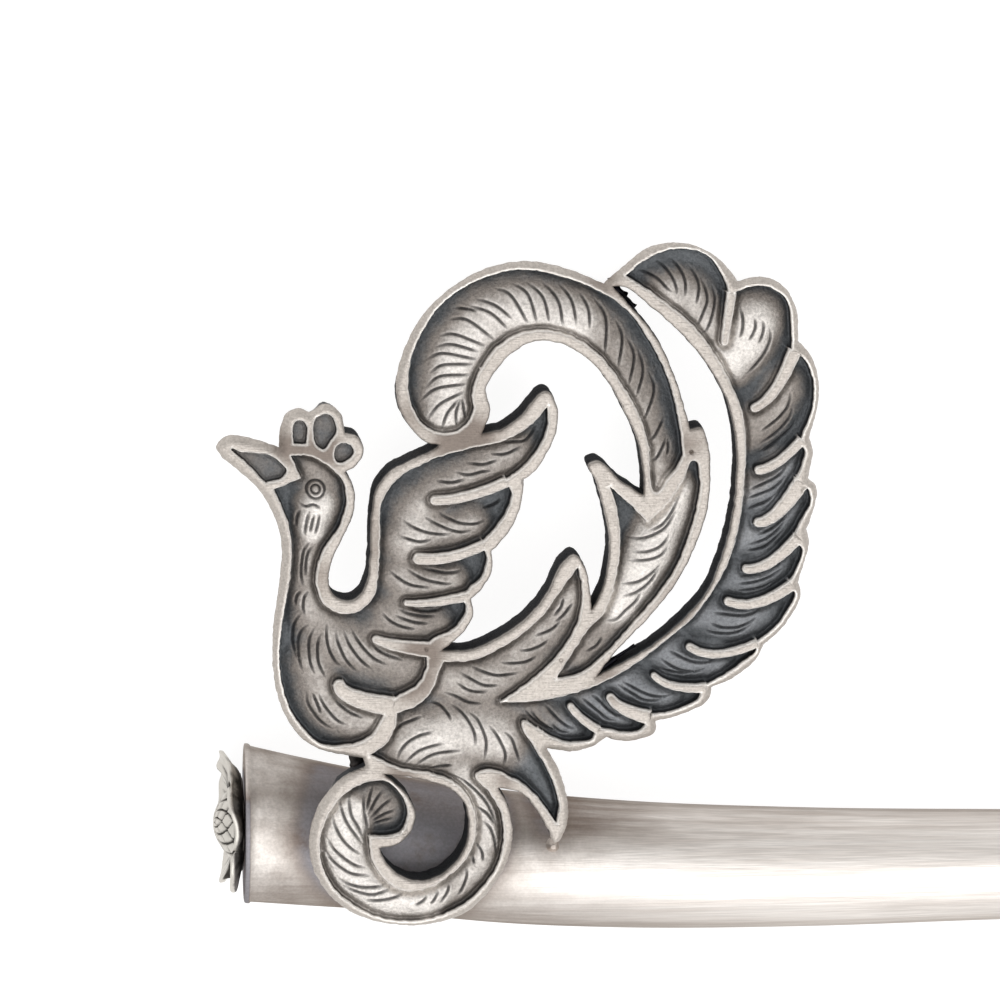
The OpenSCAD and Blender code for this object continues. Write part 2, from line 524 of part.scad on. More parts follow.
// The flared head: closed by its end plate, and open where the straight part begins.
module flare_cup() {
    last = len(FLARE) - 1;
    rings = concat(
        [for (row = LIP) flare_ring(row, 0)],
        [for (i = [1 : last]) flare_ring(FLARE[i], 0)],
        [flare_ring(JOIN, 0.05), flare_ring(JOIN, stem_wall - 0.05)],
        [for (i = [last : -1 : 1]) flare_ring(FLARE[i], stem_wall)],
        [flare_ring(FLOOR, stem_wall)]
    );
    skin([0, LIP[0][1], 0], rings, [FLOOR[0], FLOOR[1], 0]);
}

// The straight part with its pointed tip, bored from the flare to near the shoulder.
module straight_part() {
    bore = stem_d / 2 - stem_wall;
    rotate([0, 90, 0])
        rotate_extrude()
            polygon(concat(
                [[bore, straight_x], [stem_d / 2, straight_x]],
                [for (row = TIP) [stem_d / 2 * row[1], shoulder_x + row[0]]],
                [[0, shoulder_x + TIP[len(TIP) - 1][0]], [0, shoulder_x]],
                [[bore, shoulder_x - 2]]
            ));
}

module stem() {
    color("silver")
        at_rest() {
            flare_cup();
            straight_part();
        }
}

module phoenix() {
    color("gainsboro")
        at_rest()
            on_plate() {
                difference() {
                    linear_extrude(plate_t)
                        offset(delta = 0)
                            plate_shape();
                    translate([0, 0, cell_floor])
                        linear_extrude(cell_depth + 1)
                            offset(delta = 0)
                                cell_shape();
                }
                for (row = SWELLS)
                    swell(row);
                for (row = SOLDER)
                    lump(row);
                translate(over(on_face(eye[0], eye[1]), cell_floor))
                    cylinder(r = eye_r, h = eye_h);
            }
}

// Reach of the petals' edge, and their cupped height, at an angle from the nearest
// petal's middle.
function petal_turn(k) = let (w = 360 / petals) (k * w / petal_steps + w / 2) % w - w / 2;
function petal_reach(turn) =
    petal_ring * cos(turn) + sqrt(petal_r * petal_r - pow(petal_ring * sin(turn), 2));
function petal_cup(r, turn) =
    let (away = norm([r * cos(turn) - petal_ring, r * sin(turn)]))
    away * away / (2 * petal_ball);
function dome_top(r) = dome_base + dome_h * (1 - pow(r / dome_r, 2));

// A ring round the rosette at one radius and height, or along the petals at a share of
// the way from a radius to their edge.
function spot(k, r, z) =
    let (turn = -360 / (petals * petal_steps) * k + 18)
    [r * cos(turn), r * sin(turn), z];
function round_ring(r, z) = [for (k = [0 : petals * petal_steps - 1]) spot(k, r, z)];
function petal_ring_at(r0, share, lift) = [
    for (k = [0 : petals * petal_steps - 1])
        let (turn = petal_turn(k))
        let (r = r0 + (petal_reach(turn) - r0) * share)
        spot(k, r, petal_cup(r, turn) + lift)
];

// Rosette: cupped petals round a seed dome in front, with a short round peg behind.
module rosette_form() {
    rings = concat(
        [for (share = [0.2, 0.45, 0.7, 0.9, 1]) round_ring(dome_r * share, dome_top(dome_r * share))],
        [for (share = [0.02, 0.35, 0.7, 1]) petal_ring_at(dome_r, share, petal_t)],
        [for (share = [0.9, 0.6, 0.35, 0]) petal_ring_at(peg_r, share, 0)],
        [round_ring(peg_r, -peg_h)]
    );
    skin([0, 0, dome_top(0)], rings, [0, 0, -peg_h]);
}

module rosette() {
    color("darkgray")
        at_rest()
            translate([-peg_h - fit_gap, FLARE[0][1] + 0.2, 0])
                rotate([0, -90, 0])
                    rosette_form();
}

stem();
phoenix();
rosette();
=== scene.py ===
import json
import math

import bpy
import numpy as np
from mathutils import Matrix, Vector, kdtree, noise
from mathutils.geometry import delaunay_2d_cdt


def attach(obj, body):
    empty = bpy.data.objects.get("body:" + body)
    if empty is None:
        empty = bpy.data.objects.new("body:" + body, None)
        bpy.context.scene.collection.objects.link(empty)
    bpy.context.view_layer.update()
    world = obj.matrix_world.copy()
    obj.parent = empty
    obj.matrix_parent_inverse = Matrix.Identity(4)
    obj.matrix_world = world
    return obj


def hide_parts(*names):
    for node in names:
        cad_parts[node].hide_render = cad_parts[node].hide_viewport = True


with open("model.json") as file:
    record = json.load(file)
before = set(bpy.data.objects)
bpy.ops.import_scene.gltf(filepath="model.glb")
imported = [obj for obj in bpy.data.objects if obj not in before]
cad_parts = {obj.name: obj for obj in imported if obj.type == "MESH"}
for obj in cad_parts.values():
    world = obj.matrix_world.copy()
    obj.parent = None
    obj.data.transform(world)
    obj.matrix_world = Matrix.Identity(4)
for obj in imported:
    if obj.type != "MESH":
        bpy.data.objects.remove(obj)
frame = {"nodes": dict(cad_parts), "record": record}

bl_info = {
    "name": "Binyeo with a cast phoenix",
    "version": (1, 0, 0),
    "blender": (4, 5, 0),
    "location": "3D View > Sidebar > Binyeo",
    "description": "Dresses a silver hairpin: cast and engraved phoenix, brushed stem, rosette",
    "category": "Object",
}

# Lengths in the tables and the mesh code are millimetres.
MM = 0.001

# The stem's frame: along it from its head, up from it towards the crest, and out towards
# the front of the casting. The stem starts at HEAD_END, where its cut slopes by HEAD_CUT, and
# the middle of the record's shank is at SHANK_MIDDLE.
HEAD_END = -0.5
HEAD_CUT = 0.055
SHANK_MIDDLE = 130.15

# The casting's frame: right along the stem, up from it, and forward from the casting's back.
# The casting is turned about the place TURN_X, and shifted along, up and out from the stem.
# It is THICK, and its cells are CELL_DEPTH deep.
TURN_X = 50.0
PLATE_TURN = math.radians(0.7)
PLATE_IN = 0.85
PLATE_UP = 1.75
PLATE_BACK = 5.15
THICK = 3.0
CELL_DEPTH = 1.15

# The tables are as the eye sees the front from a little above and to the left. The front
# itself is this much wider and taller, and leans this much towards the head.
WIDE = 1.0055
TALL = 1.0222
LEAN = 0.0221
VIEW_LEFT = math.radians(6)
VIEW_ABOVE = math.radians(12)

# How far the rim is rounded down at its edge, and half width, depth and burr of an engraved line
ROUND_OFF = 0.11
LINE_HALF = 0.115
LINE_DEPTH = 0.17
BURR = 0.035

# Distances of the rows of mesh points beside the outer edge, the cells' walls and the lines
BESIDE_EDGE = (0.06, 0.14, 0.26, 0.42)
BESIDE_WALL = (0.05, 0.1, 0.16, 0.24, 0.34, 0.44, 0.55)
BESIDE_LINE = (-0.26, -0.13, -0.06, 0.0, 0.06, 0.13, 0.26)

# Outer edge, gaps and cells of the casting. columns: right, up, and 1 at a sharp corner
OUTLINE = [
    (-1.7, 28.3), (-1.2, 28.9), (0.6, 28.85), (2.45, 28.25, 1), (2.55, 29.6), (2.95, 30.5),
    (3.75, 30.85), (4.5, 30.6, 1), (5.7, 31.15), (6.5, 30.6), (6.8, 29.2, 1), (7.6, 29),
    (8.05, 28.1), (7.6, 27.15), (6.8, 26.65, 1), (7.4, 25.5), (7.4, 24.2), (6.65, 22.3),
    (5.9, 20.7), (5.7, 19.4), (5.95, 18.55), (6.7, 18.05), (7.6, 18.25), (8.25, 19.3),
    (8.45, 20.8), (8.6, 24), (8.95, 25.6), (9.75, 26.6), (11.2, 27.4), (12.6, 28.05),
    (13.1, 28.45, 1), (12.3, 28.6), (11.2, 29.55), (10.45, 30.8), (10.2, 32.5), (10.7, 34.5),
    (12, 37), (14, 38.9), (16.2, 40.1), (18.9, 40.6), (21.6, 40.1), (24.05, 39.15, 1),
    (25.45, 40.35), (27.2, 41.6), (29, 41.85), (31, 41.25), (32.3, 40.2), (32.95, 39.3, 1),
    (34.6, 39.6), (36.1, 38.9), (36.9, 37.4), (37.05, 35.35, 1), (37.9, 34.35), (38.4, 32.8),
    (38.4, 31.2), (37.8, 28.9, 1), (38.07, 28.1), (37.95, 27.2), (37.75, 26.2, 1), (38.3, 25.6),
    (38.25, 24.5), (37.65, 22.8, 1), (37.85, 21.9), (37.6, 20.8), (37.1, 19.2, 1), (37.3, 18.6),
    (36.75, 17.1), (35.8, 15.9), (34.85, 15, 1), (34.4, 14.2), (33, 12.95), (31.35, 12.15, 1),
    (31.15, 11.4), (29.8, 10.55), (27.6, 9.9, 1), (27.6, 9.3), (26.5, 8.7), (25.5, 8.55),
    (24.3, 8.85, 1), (23.4, 8.25), (22.2, 7.9), (20.3, 8.1, 1), (21.1, 6.6), (21.6, 5),
    (21.72, 3.8), (21.45, 2.5), (20.85, 1.75), (20.4, 2.6), (19.5, 4.1), (18.45, 5.2),
    (17, 5.5, 1), (17.65, 4.3), (17.97, 2.7), (17.8, 1), (17.1, -0.6), (16.1, -1.9), (14.8, -3),
    (13, -3.65), (11, -3.85), (9, -3.6), (7.2, -2.95), (5.6, -1.65), (4.6, 0.1), (4.35, 1.9),
    (4.75, 3.75), (5.7, 5.3), (6.9, 6.4), (8.15, 6.95, 1), (7.95, 7.5, 1), (6.8, 7.7),
    (5.2, 8.05), (4, 8.7), (3, 9.95), (2.25, 11.8), (1.97, 14), (2.05, 16.6), (2.45, 19.5),
    (2.6, 21.8), (2.05, 23.8), (0.95, 25.6), (-0.5, 26.9), (-1.5, 27.8),
]
WING_GAP = [
    (15.9, 29.15, 1), (17.3, 29.5), (18.6, 30.45), (19.4, 31.45), (20.2, 32), (20.9, 31.1),
    (20.95, 29.9), (20.3, 28), (19.5, 26.8), (18.72, 26.15, 1), (18.62, 25.1), (18.3, 23.8),
    (17.5, 22.4), (16.55, 21.4, 1), (16.62, 20.2), (16, 19), (15.22, 18.2, 1), (15.32, 17.2),
    (14.75, 16.1), (13.95, 15.3), (13.15, 14.7, 1), (15, 14.72), (17.2, 15.65), (19, 16.95),
    (20.35, 18.65), (21.3, 20.5), (22.05, 21.1), (22.75, 20.4), (23.1, 19), (23.25, 17.35, 1),
    (23.95, 18.7), (24.35, 20.6), (24.42, 22.4), (24.1, 24), (23.5, 26.1), (23.12, 27.2),
    (23.55, 27.35), (25, 26.2), (26.75, 25.05, 1), (26.65, 27), (26.25, 28.9), (25.45, 30.6),
    (24.3, 32.7), (22.8, 34.3), (21.1, 35.22), (19.5, 35.35), (18.1, 34.7), (16.8, 33.3),
    (16.2, 32.2), (16.45, 30.8),
]
TAIL_GAP = [
    (24.6, 39, 1), (25.85, 37.6), (27.4, 35.8), (28.65, 33.3), (29.5, 30.7), (29.8, 29.45, 1),
    (30.5, 29.6), (30.95, 28.7), (31.15, 26.5), (31, 24.3), (30.2, 21.8), (29, 19.4), (27, 16.85),
    (25, 14.8), (23.5, 12.9, 1), (25, 13.7), (27.2, 14.95), (29.3, 16.7), (30.9, 18.5),
    (31.95, 20.9), (32.6, 23.4), (32.92, 26.2), (32.88, 28.8), (32.35, 31.1), (31.1, 33.55),
    (29.4, 35.65), (27.1, 37.7), (25.2, 39),
]
CURL_GAP = [
    (9.3, 6.45, 1), (10.7, 6.3), (12.4, 5.95), (13.9, 5.4), (14.8, 4.3), (15.03, 3), (14.8, 1.5),
    (14.05, 0.35), (12.95, -0.52), (11.6, -0.8), (10.4, -0.4), (9.45, 0.5), (9.05, 1.45, 1),
    (10.2, 1.72), (11.1, 2.5), (11.45, 3.7), (11, 4.85), (10.1, 5.8),
]
BEAK_CELL = [
    (-0.74, 28.22), (-0.45, 28.17), (-0.1, 28.0), (0.7, 27.93), (1.67, 27.82), (2.5, 27.32),
    (2.95, 26.75), (2.8, 26.42), (1.55, 25.93, 1), (0.95, 26.5), (0.3, 27.2), (-0.3, 27.74),
    (-0.62, 27.98),
]
CREST_CELL_A = [
    (3.36, 28.5, 1), (3.34, 29.2), (3.37, 29.8), (3.6, 30.06), (4.0, 30.05), (4.28, 29.75),
    (4.31, 29.2), (4.28, 28.5, 1),
]
CREST_CELL_B = [
    (4.7, 29.2), (4.95, 30.28), (5.65, 30.52), (6.25, 29.5), (5.9, 28.7), (5.35, 28.12),
    (4.88, 28.45),
]
CREST_CELL_C = [
    (6.55, 28.6), (7.2, 28.45), (7.42, 28), (7, 27.45), (6.3, 27.25), (6.1, 27.9),
]
BODY_CELL = [
    (3.2, 27.75, 1), (4.4, 27.75), (5.65, 27.1), (6.7, 26), (6.9, 24.7), (6.5, 23.1),
    (5.45, 21.6), (4.9, 20), (5, 18.6), (5.6, 17.65), (6.7, 17.2), (7.9, 17.5), (8.7, 18.35),
    (9, 20), (9.12, 22.5), (9.25, 24.6), (10, 25.9), (12.05, 27.25), (15.1, 28.25), (17.5, 28.8),
    (19.3, 29.9), (20.35, 31.15, 1), (20.3, 29.7), (19.4, 27.8), (18.5, 26.85), (17.4, 26.05, 1),
    (17.9, 25.35), (17.6, 24.1), (16.8, 22.9), (15.9, 21.95, 1), (16.25, 20.9), (16, 19.8),
    (15.1, 18.9), (14.6, 18.35, 1), (14.85, 17.6), (13.9, 16.05), (12.6, 15.45), (12.2, 14.8, 1),
    (12.25, 13.8), (11.6, 12.4), (10.3, 11.65), (9.6, 11, 1), (9.15, 10), (8.5, 9), (6.6, 8.35),
    (5, 8.5), (3.9, 9.55), (2.95, 11.1), (2.47, 13), (2.42, 15.2), (2.75, 17.5), (3.15, 19.8),
    (3.25, 21.6), (2.9, 23.6), (2.05, 25.5, 1), (3.85, 26.25, 1),
]
ARC_CELL = [
    (13.45, 29.22), (12.15, 29.7), (11.25, 31.1), (11.05, 33.2), (11.8, 35.7), (13.25, 37.8),
    (15.7, 39.4), (18.5, 40.1), (21.1, 39.68), (23.7, 38.7), (25.7, 37.3), (27.2, 35.15),
    (28.3, 33), (29, 30.4), (29.25, 28.8), (29.3, 27.75), (28.3, 26.2), (27.42, 25.3),
    (27.18, 26.2), (27.05, 28.3), (26.5, 30.2), (25.35, 32.35), (23.6, 34.55), (21.6, 35.8),
    (19.6, 36.08), (17.6, 35.45), (16, 33.7), (15.3, 31.9), (15.35, 30.6), (14.7, 29.65),
]
PLUME_CELL = [
    (30.1, 27.42), (30.5, 26.3), (30.35, 24.5), (29.7, 22.2), (28.9, 20.2), (27.5, 18.2),
    (25.8, 16.25), (24.2, 14.5), (22.4, 13.15), (20.85, 12.8, 1), (21.55, 13.95), (22.65, 15.6),
    (23.15, 16.3), (23.95, 17.1), (24.65, 18.8), (25.05, 20.6), (25.15, 22.6), (24.9, 24.3),
    (24.45, 25.7, 1), (25.5, 24.8), (27, 23.3, 1), (28.4, 24.7), (29.4, 26.2),
]
TAIL_CELL = [
    (25.45, 39.7, 1), (27, 40.9), (29, 41.5), (31, 41), (32, 39.6), (32.45, 38.45, 1),
    (33.6, 38.95), (35, 39), (36.25, 38.1), (36.57, 36.4), (36.6, 34.7, 1), (37.35, 34.25),
    (38.05, 32.8), (38.05, 31), (37.5, 29.5), (37.1, 28.65, 1), (37.52, 28.1), (37.3, 27.1),
    (36.85, 25.95, 1), (37.75, 25.45), (37.95, 24.7), (37.25, 23.35), (36.7, 22.2, 1),
    (37.42, 21.4), (37.15, 20.4), (36.3, 19, 1), (36.92, 18.5), (36.5, 17.5), (35.6, 16.25),
    (34.15, 15.15, 1), (34.35, 14.75), (33.6, 14.05), (32.2, 13.05), (30.65, 12.2, 1),
    (30.5, 11.55), (29.5, 10.9), (28.2, 10.5), (26.95, 10.4, 1), (26.75, 9.5), (25.6, 9.18),
    (24.6, 9.38), (23.55, 9.5, 1), (23.35, 8.8), (22.4, 8.55), (21, 8.72), (19.6, 9.5),
    (18.6, 9.93), (18.6, 9.55), (19.2, 8.6), (20.1, 7.1), (20.85, 5.4), (21.1, 4.2),
    (20.92, 3.05, 1), (20.2, 4.1), (19.1, 5.4), (17.8, 6.22), (16.4, 6.7), (15.55, 6.45),
    (16.4, 5.2), (17.2, 3.8), (17.4, 2.3), (17.1, 0.6), (16.2, -1), (14.8, -2.3), (13, -3.2),
    (11, -3.55), (9, -3.28), (7.2, -2.35), (5.9, -1.2), (5.15, 0.5), (5.07, 2.1), (5.6, 3.7),
    (6.8, 5.2), (8.4, 5.95), (9.4, 6), (10.6, 4.9), (10.95, 3.8), (10.5, 2.6), (9.6, 2.25),
    (8.35, 2.25, 1), (8.5, 0.9), (9.2, -0.4), (10.4, -1.33), (12, -1.32), (13.6, -0.5),
    (14.95, 0.9), (15.52, 2.9), (15.2, 4.5), (14.1, 5.85), (12.6, 6.45), (10.4, 6.85),
    (8.4, 7.75, 1), (9.4, 8.4), (10.1, 9.6), (10.25, 10.55, 1), (11.6, 11.1), (12.7, 12.3),
    (13.1, 13.5), (13.4, 14, 1), (15, 14.05), (17.5, 15.1), (19.7, 16.8), (21.5, 19.2),
    (22.35, 20.35, 1), (22.65, 18.6), (22.2, 16.3), (21, 14.4), (19.2, 12.7), (17.15, 11.25, 1),
    (19, 11.3), (21.5, 11.7), (23.8, 12.5), (26, 13.7), (28.2, 15.4), (30, 16.9), (31.4, 18.8),
    (32.5, 20.9), (33.15, 23.4), (33.45, 26), (33.55, 28.5), (33.35, 30.4), (32.3, 33),
    (30.2, 36.15), (27.55, 38.35),
]
# Flat barbs of the rim that run into the cells.
# columns: right and up of the tip, the middle and the root, width at the tip and the root
BARBS = [
    (12.8, 24.75, 15, 25.05, 17.6, 26, 0.6, 0.65),
    (11.7, 20.87, 13.8, 20.97, 16.1, 21.8, 0.72, 0.6),
    (10.9, 17.9, 12.6, 17.93, 15, 18.35, 0.34, 0.62),
    (8.85, 15.45, 10.5, 15.02, 12.9, 14.75, 0.5, 1.05),
    (6.4, 12.35, 7.4, 11.55, 10, 10.95, 0.8, 1.3),
    (32.07, 35.32, 32.3, 36.8, 32.55, 38.6, 0.45, 0.62),
    (34.1, 30.9, 35.5, 32.15, 36.8, 34.75, 0.5, 0.85),
    (34.42, 26.76, 35.75, 27.35, 37.3, 28.8, 0.55, 0.6),
    (34.42, 23.27, 35.7, 23.95, 37.3, 26, 0.58, 1.05),
    (33.62, 20.17, 35.2, 20.6, 37.1, 22.3, 0.55, 0.75),
    (32.42, 17.97, 34.4, 17.9, 36.7, 19.1, 0.55, 0.7),
    (29.85, 14.92, 31.8, 14.45, 34.4, 15.2, 0.5, 0.5),
    (27.45, 12.98, 28.9, 12.28, 31, 12.2, 0.4, 0.6),
    (24.55, 11.52, 25.5, 10.75, 27.2, 10.2, 0.55, 0.95),
    (21.88, 10.92, 22.6, 10.15, 23.7, 9.35, 0.45, 0.55),
]

CELLS = [
    BEAK_CELL, CREST_CELL_A, CREST_CELL_B, CREST_CELL_C, BODY_CELL, ARC_CELL, PLUME_CELL, TAIL_CELL
]

# Raised forms on the floors of the cells, each along its crest. columns: half width at the
# start and at the end, height, share of the crest rubbed bright, right and up of each point
RIDGES = [
    (2.2, 2.1, 0.85, 0.45, 4.9, 26.9, 5.3, 25.4, 5.2, 24.6),
    (1.9, 1.6, 1.00, 1.10, 5.0, 24.3, 4.7, 22.9),
    (1.5, 1.4, 0.75, 0.55, 4.6, 22.0, 4.2, 19.4, 4.2, 17.0),
    (2.2, 2.9, 0.90, 0.60, 4.9, 17.4, 5.8, 15.6, 7.8, 14.7, 10.6, 14.0),
    (2.1, 2.2, 0.90, 0.68, 4.7, 13.8, 5.2, 11.8, 6.5, 10.4, 8.7, 10.2),
    (2.1, 2.2, 0.70, 0.60, 10.8, 22.0, 12.4, 24.6, 15.2, 26.3, 18.0, 27.9),
    (2.2, 2.2, 0.70, 0.52, 11.6, 24.2, 11.2, 21.0, 10.9, 18.0, 9.6, 16.0),
    (2.0, 1.7, 0.75, 0.66, 10.6, 21.9, 12.4, 22.5, 14.0, 22.8, 15.2, 23.2),
    (1.7, 1.5, 0.75, 0.60, 10.2, 19.6, 12.0, 19.1, 13.2, 19.1, 14.0, 19.4),
    (1.7, 1.5, 0.75, 0.55, 9.6, 17.2, 11.0, 16.5, 12.1, 16.3, 12.9, 16.5),
    (2.7, 3.0, 0.98, 0.90, 13.7, 30.4, 13.9, 32.7, 14.8, 34.9, 16.7, 36.7, 19.4, 37.2, 22.0, 36.5),
    (2.9, 1.9, 0.90, 0.62, 22.0, 36.5, 24.0, 34.8, 25.6, 32.2, 26.9, 29.4, 27.5, 27.0),
    (2.1, 2.2, 1.05, 1.30, 28.7, 25.2, 28.1, 23.4, 27.3, 21.4),
    (2.2, 2.2, 0.95, 1.15, 27.3, 21.4, 26.4, 19.6, 25.2, 17.8),
    (2.1, 1.9, 0.80, 0.50, 25.2, 17.8, 24.2, 16.4, 22.4, 14.4),
    (2.5, 2.2, 0.90, 0.74, 28.6, 38.2, 29.6, 38.0, 30.4, 37.0, 30.8, 36.2),
    (2.6, 2.5, 1.00, 1.04, 32.5, 34.2, 33.4, 35.2, 34.2, 36.6),
    (2.0, 1.9, 0.90, 0.62, 33.8, 29.4, 35.2, 30.5, 36.1, 32.2),
    (1.7, 1.6, 0.75, 0.50, 33.6, 25.3, 35.0, 25.9, 36.0, 27.0),
    (1.7, 1.7, 0.75, 0.46, 33.6, 22.2, 34.8, 22.8, 36.0, 24.2),
    (1.6, 1.5, 0.72, 0.32, 32.8, 19.4, 34.2, 19.6, 35.5, 20.6),
    (1.8, 1.8, 0.75, 0.34, 30.8, 17.0, 32.8, 16.6, 34.6, 17.3),
    (1.6, 1.5, 0.70, 0.38, 28.2, 14.5, 29.8, 13.9, 31.6, 14.0),
    (1.6, 1.5, 0.70, 0.38, 25.2, 12.7, 26.6, 12.0, 28.2, 11.7),
    (1.4, 1.3, 0.70, 0.36, 22.8, 11.7, 23.9, 10.9, 25.2, 10.3),
    (1.5, 1.4, 0.70, 0.36, 19.2, 10.7, 20.5, 10.0, 21.8, 9.6),
    (2.5, 2.3, 0.90, 0.66, 13.8, 12.7, 16.6, 13.1, 19.4, 15.3, 21.6, 18.2),
    (3.2, 3.1, 1.05, 0.82, 11.6, 8.3, 13.4, 8.9, 15.4, 9.0, 17.0, 8.8),
    (1.3, 1.0, 0.45, 0.10, 18.2, 8.6, 19.3, 6.8, 20.4, 4.6),
    (1.9, 2.0, 0.98, 0.84, 14.6, 6.3, 15.7, 4.2, 15.9, 1.4, 14.4, -0.8, 12.1, -2.0),
    (2.1, 2.2, 0.98, 1.45, 12.1, -2.0, 9.3, -1.8, 7.4, -0.4, 6.7, 1.6, 6.9, 3.4),
    (1.8, 1.7, 0.80, 0.42, 7.9, 4.6, 8.9, 4.6, 9.6, 4.1),
    (2.1, 2.0, 0.80, 0.42, 16.2, 12.0, 18.5, 12.1, 21.0, 13.2),
]

